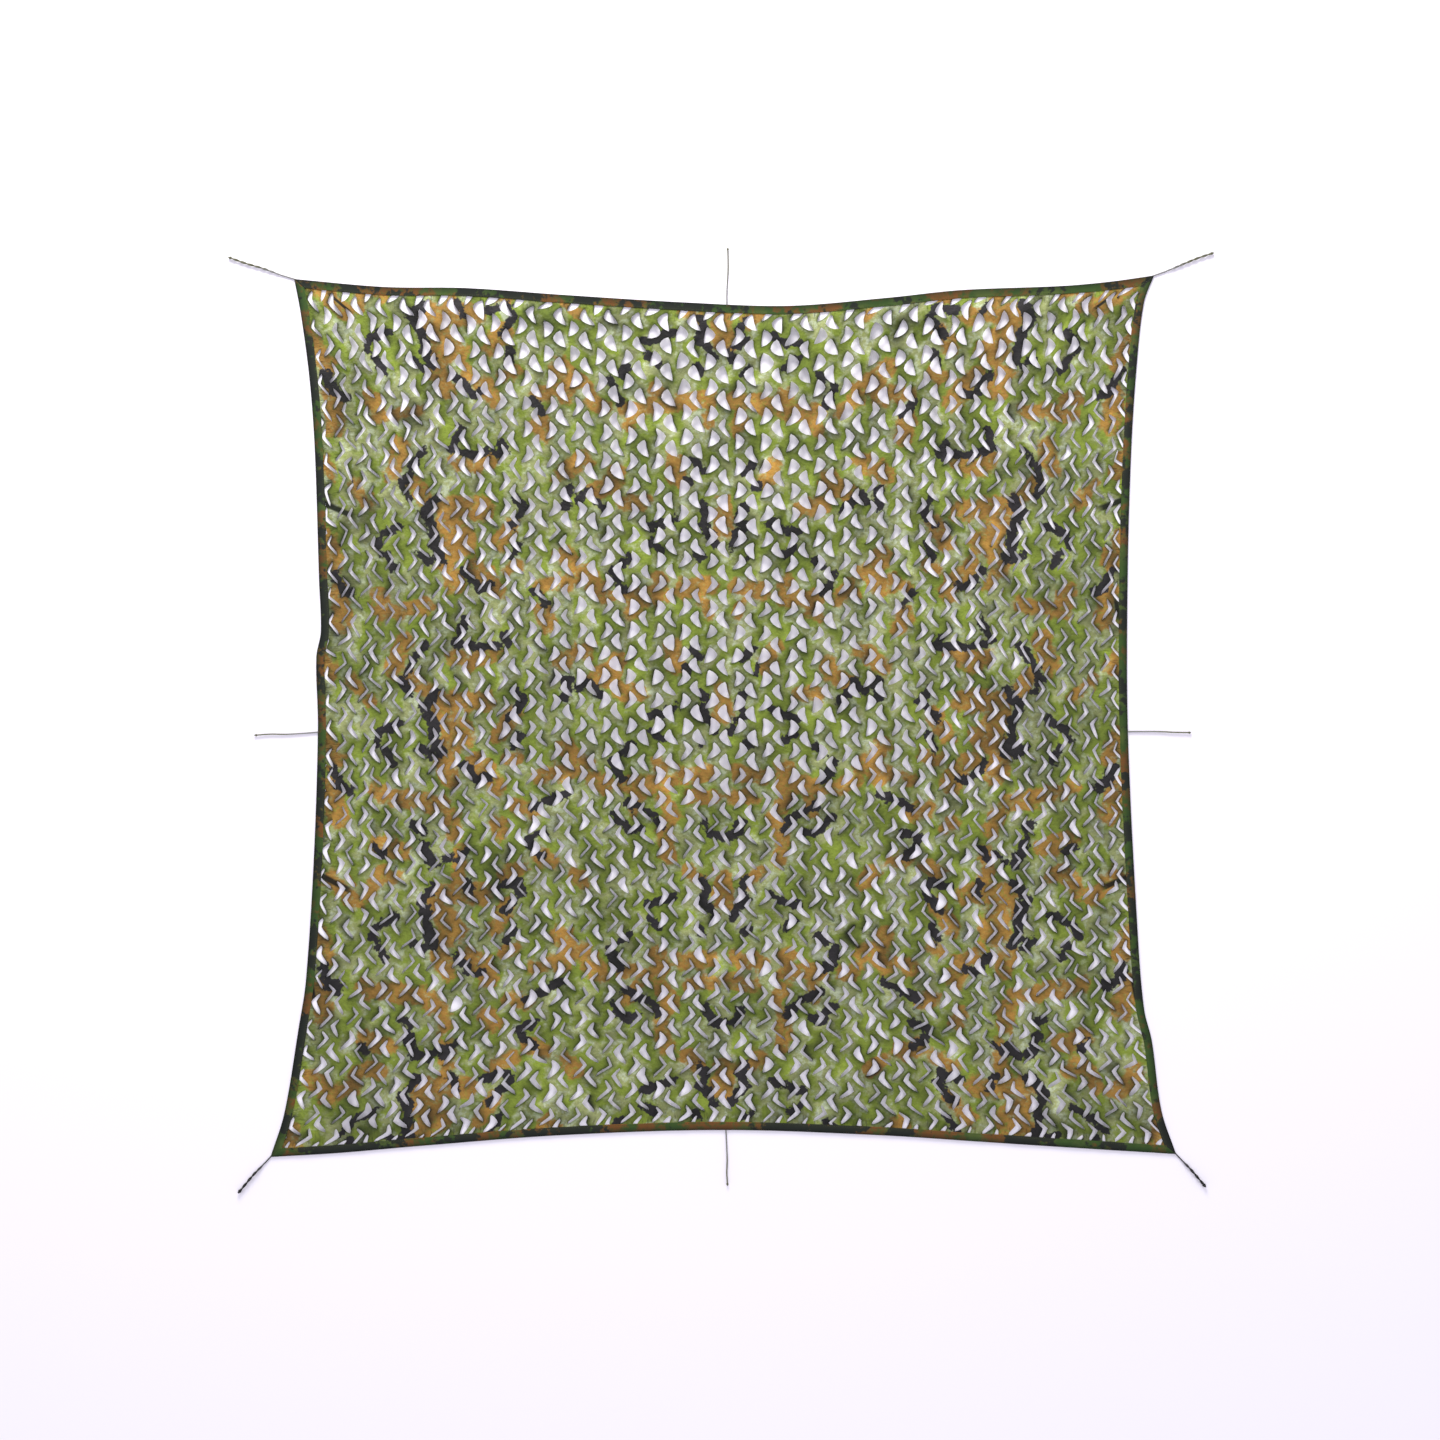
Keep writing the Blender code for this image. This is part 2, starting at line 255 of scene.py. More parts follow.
# side and share of the way along it, heading in degrees, near, far and knot diameters, cord colour,
# and bends as (distance out, drift to the left). The last bend is the knot's middle.
ties = {
    "top_left": tieRow("left", 0.0, 161.8, 0.0045, 0.0080, 0.0100, "khaki",
                       ((0.050, 0.0010), (0.110, -0.0010), (0.170, 0.0010), (0.229, 0.0))),
    "top": tieRow("top", 0.497, 89.0, 0.0045, 0.0045, 0.0080, "khaki",
                  ((0.050, 0.0005), (0.110, -0.0020), (0.150, -0.0015), (0.188, 0.0))),
    "top_right": tieRow("top", 0.0, 20.8, 0.0045, 0.0080, 0.0100, "khaki",
                        ((0.050, -0.0010), (0.110, 0.0010), (0.160, 0.0020), (0.210, 0.0))),
    "right": tieRow("right", 0.482, -1.0, 0.0045, 0.0045, 0.0080, "khaki",
                    ((0.050, 0.0010), (0.110, 0.0015), (0.160, 0.0), (0.209, 0.0))),
    "bottom_right": tieRow("right", 0.0, -47.9, 0.0045, 0.0090, 0.0120, "black",
                           ((0.040, 0.0010), (0.075, 0.0020), (0.110, 0.0010), (0.142, 0.0))),
    "bottom": tieRow("bottom", 0.503, -88.4, 0.0045, 0.0045, 0.0080, "khaki",
                     ((0.050, 0.0010), (0.100, 0.0015), (0.145, -0.0010), (0.184, 0.0))),
    "bottom_left": tieRow("bottom", 0.0, -131.9, 0.0045, 0.0090, 0.0120, "black",
                          ((0.040, -0.0010), (0.080, -0.0025), (0.120, -0.0015), (0.156, 0.0))),
    "left": tieRow("left", 0.515, 182.8, 0.0045, 0.0045, 0.0080, "khaki",
                   ((0.050, 0.0015), (0.110, 0.0020), (0.160, -0.0010), (0.210, 0.0))),
}


def doubling(share):
    return smoothStep(0.0, 1.0, (share - tieLook["doubledFrom"]) / tieLook["doubledWithin"])


def tieFrame(tie):
    # where the cord leaves the binding, and its heading and left as unit vectors
    place = tie.share * tieLook["stations"]
    first = int(place)
    a, b = sidePoints(tie.side, np.array([first, first + 1]) / tieLook["stations"])
    root = a + (b - a) * (place - first)
    turn = math.radians(tie.heading)
    return root, np.array((math.cos(turn), math.sin(turn))), np.array((-math.sin(turn), math.cos(turn)))


def tieRoute(tie, out):
    # centre line of the cord at these distances out from the binding
    root, ahead, left = tieFrame(tie)
    reach = tie.bends[-1][0]
    share = np.clip(out / reach, 0.0, 1.0)
    drift = through(((0.0, 0.0), *tie.bends), np.clip(out, 0.0, reach))
    diameter = tie.near + (tie.far - tie.near) * doubling(share)
    flat = root + out[:, None] * ahead + drift[:, None] * left
    rise = (tie.knot - tie.far) / 2 * share
    z = diameter / 2 + rise + tieLook["floorGap"]
    return np.column_stack([flat, z]), share


def laidCord(line, radii, around, grooveDepth, twistPitch):
    # points and faces of a closed cord along a line. Its strands twist along it, with grooves between.
    tangents = directions(line)
    sideways = np.empty_like(line)
    way = np.cross(tangents[0], (0.0, 0.0, 1.0))
    for i, tangent in enumerate(tangents):
        way = way - tangent * way.dot(tangent)
        way = way / np.linalg.norm(way)
        sideways[i] = way
    upward = np.cross(sideways, tangents)
    angle = 2 * math.pi * np.arange(around) / around
    turn = 2 * math.pi * runAlong(line) / twistPitch
    wave = np.abs(np.cos(tieLook["strands"] / 2 * (angle[None, :] - turn[:, None])))
    swell = 1 - grooveDepth + grooveDepth * wave ** tieLook["grooveShape"]
    ring = np.asarray(radii)[:, None] * swell
    points = (
        line[:, None, :]
        + (ring * np.cos(angle))[..., None] * sideways[:, None, :]
        + (ring * np.sin(angle))[..., None] * upward[:, None, :]
    ).reshape(-1, 3)
    count = len(line)
    faces = tubeFaces(count, around)
    points = np.vstack([points, line[:1], line[-1:]])
    first, final = len(points) - 2, len(points) - 1
    for j in range(around):
        k = (j + 1) % around
        faces.append((first, k, j))
        faces.append((final, (count - 1) * around + j, (count - 1) * around + k))
    return points, faces


def joined(parts):
    # several (points, faces) as one
    points, faces, base = [], [], 0
    for somePoints, someFaces in parts:
        points.append(somePoints)
        faces += [tuple(v + base for v in face) for face in someFaces]
        base += len(somePoints)
    return np.vstack(points), faces


def fadedRadii(count, radius, rings):
    # radii that round the last few rings off at both ends
    short, least = tieLook["blunt"]
    fromEnd = np.minimum(np.arange(count), np.arange(count)[::-1])
    return radius * np.sqrt(np.clip((fromEnd + short) / rings, least, 1.0))


def makeTie(name, tie):
    look = tieLook
    reach = tie.bends[-1][0]
    out = np.arange(-look["rootInside"], reach - look["shortOfKnot"] * tie.knot, look["ringStep"])
    line, share = tieRoute(tie, out)
    root, ahead, left = tieFrame(tie)
    radius = tie.near / 2
    laid = (look["around"], look["grooveDepth"], look["twistPitch"])
    if tie.far <= tie.near:
        parts = [laidCord(line, fadedRadii(len(line), radius, look["endRings"]), *laid)]
    else:
        # one strand out to the knot, and its own end brought back beside it and wound round it
        strand = tie.far / 4
        grown = doubling(share)
        turn = 2 * math.pi * out / look["pairPitch"]
        across, up = np.cos(turn) * strand * grown, np.sin(turn) * strand * grown
        apart = np.column_stack([across[:, None] * left, up])
        starts = int(np.searchsorted(share, look["doubledFrom"] + look["backEndFrom"]))
        backEnd = (line - apart)[starts:]
        parts = [
            laidCord(line + apart, radius + (strand - radius) * grown, *laid),
            laidCord(backEnd, fadedRadii(len(backEnd), strand, look["backEndRings"]), *laid),
        ]
    points, faces = joined(parts)
    points[:, 2] = np.maximum(points[:, 2], look["lowest"])
    obj = meshObject("tieCord_" + name, points, faces, cordMaterials[tie.colour])
    pointAttribute(obj.data, "along", (points[:, :2] - root) @ ahead / reach)
    return obj, line


def makeKnot(name, tie):
    look = knotLook
    root, ahead, left = tieFrame(tie)
    strand = tie.knot * look["strand"]
    laid = (look["around"], look["grooveDepth"], look["twistPitch"])
    middle = np.array((*(root + ahead * tie.bends[-1][0]), tie.knot / 2 + tieLook["floorGap"]))
    t = np.linspace(0, 2 * math.pi, look["windingPoints"], endpoint=False)
    big = tie.knot * 0.5 - strand
    out = big * look["ring"] + big * look["swing"] * np.cos(look["crossings"] * t)
    along = out * np.cos(look["rounds"] * t) * look["stretch"]
    across = out * np.sin(look["rounds"] * t)
    up = big * look["height"] * np.sin(look["crossings"] * t)
    winding = np.column_stack([along[:, None] * ahead + across[:, None] * left, up]) + middle
    winding = np.vstack([winding, winding[:1]])
    parts = [laidCord(winding, np.full(len(winding), strand), *laid)]
    # the cord through the middle, its free end hanging towards the floor
    count = look["corePoints"]
    run = np.linspace(*look["core"], count)[:, None] * tie.knot
    core = np.column_stack([run * ahead, np.zeros(count)]) + middle
    drop = (middle[2] - strand * look["coreRest"]) * look["coreDrop"]
    core[:, 2] = middle[2] - np.linspace(0.0, 1.0, count) ** 2 * drop
    parts.append(laidCord(core, fadedRadii(count, strand * look["coreRadius"], look["coreRings"]), *laid))
    points, faces = joined(parts)
    points[:, 2] = np.maximum(points[:, 2], tieLook["lowest"])
    obj = meshObject("tieKnot_" + name, points, faces, cordMaterials[tie.colour])
    pointAttribute(obj.data, "along", np.ones(len(points)))
    return obj


# materials
colours = {
    "sage": (0.395, 0.428, 0.180),
    "mint": (0.57, 0.63, 0.43),
    "leaf": (0.266, 0.346, 0.042),
    "ochre": (0.474, 0.250, 0.048),
    "nearBlack": (0.028, 0.025, 0.029),
    # painted shade along the cuts, towards the tongues' tips and in hollows
    "rimShade": (0.072, 0.100, 0.032),
    # painted shade in creases and gathers
    "creaseShade": (0.045, 0.055, 0.035),
    "bindingGreen": (0.021, 0.046, 0.010),
    "bindingBrown": (0.085, 0.038, 0.010),
    "bindingBlack": (0.010, 0.013, 0.010),
    "bindingLeaf": (0.036, 0.058, 0.014),
    # painted shade at the binding's outer fold
    "bindingFoldShade": (0.35, 0.38, 0.35),
    "bindingInner": (1.9, 1.75, 1.5),  # the hem lightens where it meets the cloth
    "thread": (0.045, 0.055, 0.025),
    "khaki": (0.190, 0.190, 0.180),
    "khakiEnd": (0.110, 0.112, 0.066),
    "black": (0.055, 0.055, 0.055),
    "blackEnd": (0.018, 0.018, 0.017),
    "floor": (0.91, 0.885, 0.95),
}


def newGroup(name, inputs, outputs):
    # the sockets are labels with a default number, or with the kind of one that has none
    group = bpy.data.node_groups.new(name, "ShaderNodeTree")
    for way, sockets in (("INPUT", inputs), ("OUTPUT", outputs)):
        for label, value in sockets.items():
            kind = value if isinstance(value, str) else "Float"
            socket = group.interface.new_socket(label, in_out=way, socket_type="NodeSocket" + kind)
            if not isinstance(value, str):
                socket.default_value = value
    return group, group.nodes.new("NodeGroupInput"), group.nodes.new("NodeGroupOutput")


def addNode(tree, kind, **values):
    node = tree.nodes.new(kind)
    for key, value in values.items():
        node.inputs[key.replace("_", " ")].default_value = value
    return node


def feed(tree, socket, value):
    # a number, a colour or another node's output
    if isinstance(value, (int, float)):
        socket.default_value = value
    elif isinstance(value, tuple):
        socket.default_value = (*value, 1.0)
    else:
        tree.links.new(value, socket)


def mathNode(tree, operation, *values, clamp=False):
    node = tree.nodes.new("ShaderNodeMath")
    node.operation = operation
    node.use_clamp = clamp
    for socket, value in zip(node.inputs, values):
        feed(tree, socket, value)
    return node.outputs[0]


def product(tree, first, *others):
    for other in others:
        first = mathNode(tree, "MULTIPLY", first, other)
    return first


def mixColour(tree, fac, first, second, blend="MIX"):
    node = tree.nodes.new("ShaderNodeMix")
    node.data_type = "RGBA"
    node.blend_type = blend
    for socket, value in ((node.inputs[0], fac), (node.inputs[6], first), (node.inputs[7], second)):
        feed(tree, socket, value)
    return node.outputs[2]


def noiseNode(tree, vector, scale, detail=2.0, roughness=0.5, offset=None):
    if offset:
        moved = addNode(tree, "ShaderNodeMapping")
        moved.inputs["Location"].default_value = offset
        tree.links.new(vector, moved.inputs["Vector"])
        vector = moved.outputs["Vector"]
    node = addNode(tree, "ShaderNodeTexNoise", Scale=scale, Detail=detail, Roughness=roughness)
    tree.links.new(vector, node.inputs["Vector"])
    return node.outputs["Fac"]


def noiseMask(tree, vector, scale, detail, roughness, gain, shift, offset=None):
    # noise stretched to a mask from 0 to 1
    noise = noiseNode(tree, vector, scale, detail, roughness, offset)
    return mathNode(tree, "MULTIPLY_ADD", noise, gain, shift, clamp=True)


# Masks are noise as (scale, detail, roughness, gain, shift, offset), and patches (offset, softness of
# the edge in metres). Each patch's edge is moved by noise as (scale, roughness, metres).
printLook = {
    "coarseEdge": (34.0, 0.55, 0.050),
    "fineEdge": (150.0, 0.6, 0.012),
    "second": (40.0, 3.0, 0.65, 8.0, -3.9, (5.0, 3.0, 0)),
    "ochreStrength": (62.0, 2.0, 0.6, 3.2, -0.55, (3.0, 9.0, 0)),
    "leaf": (2.3, 0.014),
    "ochre": (7.1, 0.010),
    "dark": (4.7, 0.004),
}


def makePrintGroup():
    # one woodland print: three fields, positive inside their patches, in metres from the patch's edge
    parts = ("Base", "Second", "Leaf", "Ochre", "Dark")
    inputs = {"Vector": "Vector", "Leaf": 0.0, "Ochre": 0.0, "Dark": 0.0}
    inputs.update({part + " Colour": "Color" for part in parts})
    group, start, end = newGroup("woodlandPrint", inputs, {"Colour": "Color"})
    vector = start.outputs["Vector"]

    def moved(look, offset):
        scale, roughness, reach = look
        noise = noiseNode(group, vector, scale, 2.0, roughness, offset)
        return mathNode(group, "MULTIPLY_ADD", noise, reach, -reach / 2)

    def patch(name):
        seed, softness = printLook[name.lower()]
        field = mathNode(group, "ADD", start.outputs[name], moved(printLook["coarseEdge"], (seed, 0, 0)))
        field = mathNode(group, "ADD", field, moved(printLook["fineEdge"], (0, seed, 0)))
        return mathNode(group, "MULTIPLY_ADD", field, 1.0 / softness, 0.5, clamp=True)

    second = noiseMask(group, vector, *printLook["second"])
    colour = mixColour(group, second, start.outputs["Base Colour"], start.outputs["Second Colour"])
    colour = mixColour(group, patch("Leaf"), colour, start.outputs["Leaf Colour"])
    strength = noiseMask(group, vector, *printLook["ochreStrength"])
    ochre = product(group, patch("Ochre"), strength)
    colour = mixColour(group, ochre, colour, start.outputs["Ochre Colour"])
    colour = mixColour(group, patch("Dark"), colour, start.outputs["Dark Colour"])
    group.links.new(colour, end.inputs["Colour"])
    return group


weaveLook = {
    "slub": (420.0, 2.0, 0.6),  # scale, detail and roughness of the noise
    "threadShade": 0.12,  # how much lighter a thread is over than under
    "gapShade": 0.94,
}


def makeWeaveGroup():
    # plain weave: a height for bump and a shade that darkens between the threads, with a little slub
    inputs = {"Vector": "Vector", "Threads": 900.0, "Slub": 0.25}
    group, start, end = newGroup("plainWeave", inputs, {"Height": "Float", "Shade": "Float"})
    scaled = group.nodes.new("ShaderNodeVectorMath")
    scaled.operation = "SCALE"
    group.links.new(start.outputs["Vector"], scaled.inputs[0])
    group.links.new(start.outputs["Threads"], scaled.inputs["Scale"])
    split = group.nodes.new("ShaderNodeSeparateXYZ")
    group.links.new(scaled.outputs[0], split.inputs[0])
    warp = product(group, split.outputs[0], 2 * math.pi)
    weft = product(group, split.outputs[1], 2 * math.pi)
    over = product(group, mathNode(group, "SINE", warp), mathNode(group, "SINE", weft))
    height = mathNode(group, "MULTIPLY_ADD", over, 0.5, 0.5)
    slub = mathNode(group, "SUBTRACT", noiseNode(group, start.outputs["Vector"], *weaveLook["slub"]), 0.5)
    uneven = product(group, slub, start.outputs["Slub"])
    group.links.new(mathNode(group, "ADD", height, uneven), end.inputs["Height"])
    shade = mathNode(group, "MULTIPLY_ADD", height, weaveLook["threadShade"], weaveLook["gapShade"])
    group.links.new(mathNode(group, "ADD", shade, uneven), end.inputs["Shade"])
    return group


mottleLook = {"Detail": 4.0, "Roughness": 0.62}


def makeMottleGroup():
    # slow brightness changes from handling, fading and dust
    inputs = {"Vector": "Vector", "Scale": 12.0, "Amount": 0.2}
    group, start, end = newGroup("mottle", inputs, {"Shade": "Float"})
    noise = addNode(group, "ShaderNodeTexNoise", **mottleLook)
    group.links.new(start.outputs["Vector"], noise.inputs["Vector"])
    group.links.new(start.outputs["Scale"], noise.inputs["Scale"])
    centred = mathNode(group, "SUBTRACT", noise.outputs["Fac"], 0.5)
    shade = mathNode(group, "MULTIPLY_ADD", centred, start.outputs["Amount"], 1.0)
    group.links.new(shade, end.inputs["Shade"])
    return group


groups = {"print": makePrintGroup(), "weave": makeWeaveGroup(), "mottle": makeMottleGroup()}


def newMaterial(name, roughness, specular=0.25):
    material = bpy.data.materials.new(name)
    material.use_nodes = True
    tree = material.node_tree
    shader = tree.nodes["Principled BSDF"]
    shader.inputs["Roughness"].default_value = roughness
    shader.inputs["Specular IOR Level"].default_value = specular
    place = tree.nodes.new("ShaderNodeTexCoord").outputs["Object"]
    return material, tree, shader, place


def placed(tree, key, **values):
    node = tree.nodes.new("ShaderNodeGroup")
    node.node_tree = groups[key]
    for label, value in values.items():
        feed(tree, node.inputs[label.replace("_", " ")], value)
    return node


def attributeNode(tree, name):
    node = tree.nodes.new("ShaderNodeAttribute")
    node.attribute_name = name
    return node.outputs["Fac"]


def printed(tree, place, base, second, leaf, ochre, dark):
    # the woodland print in these colours, from the fields that the mesh carries
    return placed(
        tree, "print", Vector=place, Leaf=attributeNode(tree, "printLeaf"),
        Ochre=attributeNode(tree, "printOchre"), Dark=attributeNode(tree, "printDark"),
        Base_Colour=colours[base], Second_Colour=colours[second], Leaf_Colour=colours[leaf],
        Ochre_Colour=colours[ochre], Dark_Colour=colours[dark],
    ).outputs["Colour"]


def woven(tree, place, look):
    weave = placed(tree, "weave", Vector=place, Threads=look["threads"], Slub=look["slub"])
    return weave.outputs["Height"], weave.outputs["Shade"]


def mottled(tree, place, look):
    mottle = placed(tree, "mottle", Vector=place, Scale=look["mottleScale"], Amount=look["mottle"])
    return mottle.outputs["Shade"]


def shaded(tree, colour, shade):
    grey = tree.nodes.new("ShaderNodeCombineXYZ")
    for socket in grey.inputs:
        tree.links.new(shade, socket)
    return mixColour(tree, 1.0, colour, grey.outputs[0], "MULTIPLY")


def bumpOn(tree, shader, height, strength, distance):
    bump = tree.nodes.new("ShaderNodeBump")
    bump.inputs["Strength"].default_value = strength
    bump.inputs["Distance"].default_value = distance
    tree.links.new(height, bump.inputs["Height"])
    tree.links.new(bump.outputs["Normal"], shader.inputs["Normal"])


# Noise masks are as in the print.
clothLook = {
    "roughness": 0.82,
    "sheen": 0.12,
    "threads": 760.0,  # a metre
    "slub": 0.3,
    "mottleScale": 80.0,
    "mottle": 0.6,
    "tone": 0.32,  # how much lighter or darker one strip of cloth is than the next
    "tipPower": 2.0,  # above 1 a tongue's shade sits nearer its tip
    # painted shade towards a tongue's tip
    "tipShade": -0.15,
    "tipEdge": 0.8,  # how much of a cut's darkening the tip gets
    "rimPower": 0.8,
    "edgeShade": (0.48, 0.52),  # what a cut's own shade adds to the darkening along it, and the least of it
    # painted shade in hollows of the cloth, away from the cuts
    "hollows": (52.0, 2.0, 0.55, 5.0, -2.55, (1.7, 4.1, 0)),  # where the cloth darkens without a cut
    "hollowShade": 0.50,
    "gathers": (130.0, 2.0, 0.5, 6.0, -3.2),
    "gatherStretch": 0.25,  # the gathers run inwards, so their noise is drawn out that way
    "gatherShade": 0.7,
    "crease": (-1.8, 2.0),  # gain and shift of the distance from its line, in half widths
    "crumple": (75.0, 3.0, 0.6),
    "foldDepth": -0.5,
    "weaveDepth": 0.03,
    "bump": (0.8, 0.006),  # strength and metres
}


def clothFolds(tree):
    # where the cloth is gathered or creased beside the binding, from 0 to 1, for painted shade and a dent
    look = clothLook
    along = tree.nodes.new("ShaderNodeCombineXYZ")
    tree.links.new(attributeNode(tree, "alongEdge"), along.inputs[0])
    inwards = product(tree, attributeNode(tree, "toEdge"), look["gatherStretch"])
    tree.links.new(inwards, along.inputs[1])
    gathers = noiseMask(tree, along.outputs[0], *look["gathers"])
    gathers = product(tree, gathers, attributeNode(tree, "gathered"), look["gatherShade"])
    crease = mathNode(tree, "ABSOLUTE", attributeNode(tree, "creaseSide"))
    crease = mathNode(tree, "MULTIPLY_ADD", crease, *look["crease"], clamp=True)
    crease = product(tree, crease, attributeNode(tree, "creaseShows"))
    return mathNode(tree, "MAXIMUM", gathers, crease)


def makeClothMaterial():
    look = clothLook
    material, tree, shader, place = newMaterial("printedNetCloth", look["roughness"])
    woodland = printed(tree, place, "sage", "mint", "leaf", "ochre", "nearBlack")
    weaveHeight, weaveShade = woven(tree, place, look)
    # each strip's own random tone, with painted shade towards each tongue's tip
    tip = mathNode(tree, "MAXIMUM", attributeNode(tree, "tongueSide"), 0.0)
    tip = mathNode(tree, "POWER", tip, look["tipPower"])
    tone = mathNode(tree, "MULTIPLY_ADD", attributeNode(tree, "tone"), look["tone"], 1.0)
    tone = product(tree, tone, mathNode(tree, "MULTIPLY_ADD", tip, look["tipShade"], 1.0))
    shade = product(tree, mottled(tree, place, look), weaveShade, tone)
    # painted shade: the cloth darkens along each cut, towards the tongues' tips and in hollows
    rim = mathNode(tree, "MAXIMUM", attributeNode(tree, "rim"), 0.0)
    rim = mathNode(tree, "POWER", rim, look["rimPower"])
    edge = mathNode(tree, "MAXIMUM", rim, product(tree, tip, look["tipEdge"]))
    edgeShade = mathNode(tree, "MULTIPLY_ADD", attributeNode(tree, "underShade"), *look["edgeShade"])
    edge = product(tree, edge, edgeShade)
    hollows = product(tree, noiseMask(tree, place, *look["hollows"]), look["hollowShade"])
    edge = mathNode(tree, "MAXIMUM", edge, hollows)
    folds = clothFolds(tree)
    colour = mixColour(tree, edge, shaded(tree, woodland, shade), colours["rimShade"], "MULTIPLY")
    # painted shade in the gathers and creases beside the binding
    colour = mixColour(tree, folds, colour, colours["creaseShade"], "MULTIPLY")
    tree.links.new(colour, shader.inputs["Base Color"])
    shader.inputs["Sheen Weight"].default_value = look["sheen"]
    crumple = noiseNode(tree, place, *look["crumple"])
    crumple = mathNode(tree, "MULTIPLY_ADD", folds, look["foldDepth"], crumple)
    height = mathNode(tree, "MULTIPLY_ADD", weaveHeight, look["weaveDepth"], crumple)
    bumpOn(tree, shader, height, *look["bump"])
    return material


bindingLook = {
    "roughness": 0.85,
    "threads": 900.0,
    "slub": 0.3,
    "mottleScale": 40.0,
    "mottle": 0.5,
    "bump": (0.3, 0.0003),
}


def makeBindingMaterial():
    look = bindingLook
    material, tree, shader, place = newMaterial("printedBinding", look["roughness"])
    woodland = printed(
        tree, place, "bindingGreen", "bindingGreen", "bindingLeaf", "bindingBrown", "bindingBlack")
    weaveHeight, weaveShade = woven(tree, place, look)
    colour = shaded(tree, shaded(tree, woodland, mottled(tree, place, look)), weaveShade)
    # the hem lightens where it meets the cloth, and painted shade darkens the outer fold
    for name, part in (("innerHem", "bindingInner"), ("outerFold", "bindingFoldShade")):
        colour = mixColour(tree, attributeNode(tree, name), colour, colours[part], "MULTIPLY")
    tree.links.new(colour, shader.inputs["Base Color"])
    bumpOn(tree, shader, weaveHeight, *look["bump"])
    return material


threadLook = {"roughness": 0.7, "mottleScale": 300.0, "mottle": 0.6}


def makeThreadMaterial():
    look = threadLook
    material, tree, shader, place = newMaterial("stitchThread", look["roughness"])
    colour = shaded(tree, colours["thread"], mottled(tree, place, look))
    tree.links.new(colour, shader.inputs["Base Color"])
    return material


cordLook = {
    "roughness": 0.75,
    "fibres": (900.0, 2.0, 0.6),
    "fibreShade": (0.5, 0.75),  # gain and shift
    "mottleScale": 60.0,
    "mottle": 0.5,
    "towardsKnot": (3.0, -0.9),  # gain and shift of the way out, to where the cord takes its end's colour
    "bump": (0.4, 0.0004),
}


def makeCordMaterial(name):
    look = cordLook
    material, tree, shader, place = newMaterial("tieCord_" + name, look["roughness"])
    fibres = noiseNode(tree, place, *look["fibres"])
    fibreShade = mathNode(tree, "MULTIPLY_ADD", fibres, *look["fibreShade"])
    shade = product(tree, mottled(tree, place, look), fibreShade)
    # the cord is darker out towards its knot
    towardsKnot = mathNode(tree, "MULTIPLY_ADD", attributeNode(tree, "along"), *look["towardsKnot"], clamp=True)
    colour = mixColour(tree, towardsKnot, colours[name], colours[name + "End"])
    tree.links.new(shaded(tree, colour, shade), shader.inputs["Base Color"])
    bumpOn(tree, shader, fibres, *look["bump"])
    return material


floorLook = {"roughness": 0.9, "specular": 0.1}


def makeFloorMaterial():
    material, _, shader, _ = newMaterial("paleFloor", **floorLook)
    shader.inputs["Base Color"].default_value = (*colours["floor"], 1.0)
    return material


clothMaterial = makeClothMaterial()
bindingMaterial = makeBindingMaterial()
threadMaterial = makeThreadMaterial()
cordMaterials = {name: makeCordMaterial(name) for name in ("khaki", "black")}
print("materials made")

for tieName, tie in ties.items():
    cord, route = makeTie(tieName, tie)
    knot = makeKnot(tieName, tie)
    for piece, node in ((cord, "tie_"), (knot, "knot_")):
        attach(piece, "root")
        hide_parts(node + tieName)
print("tie cords made")
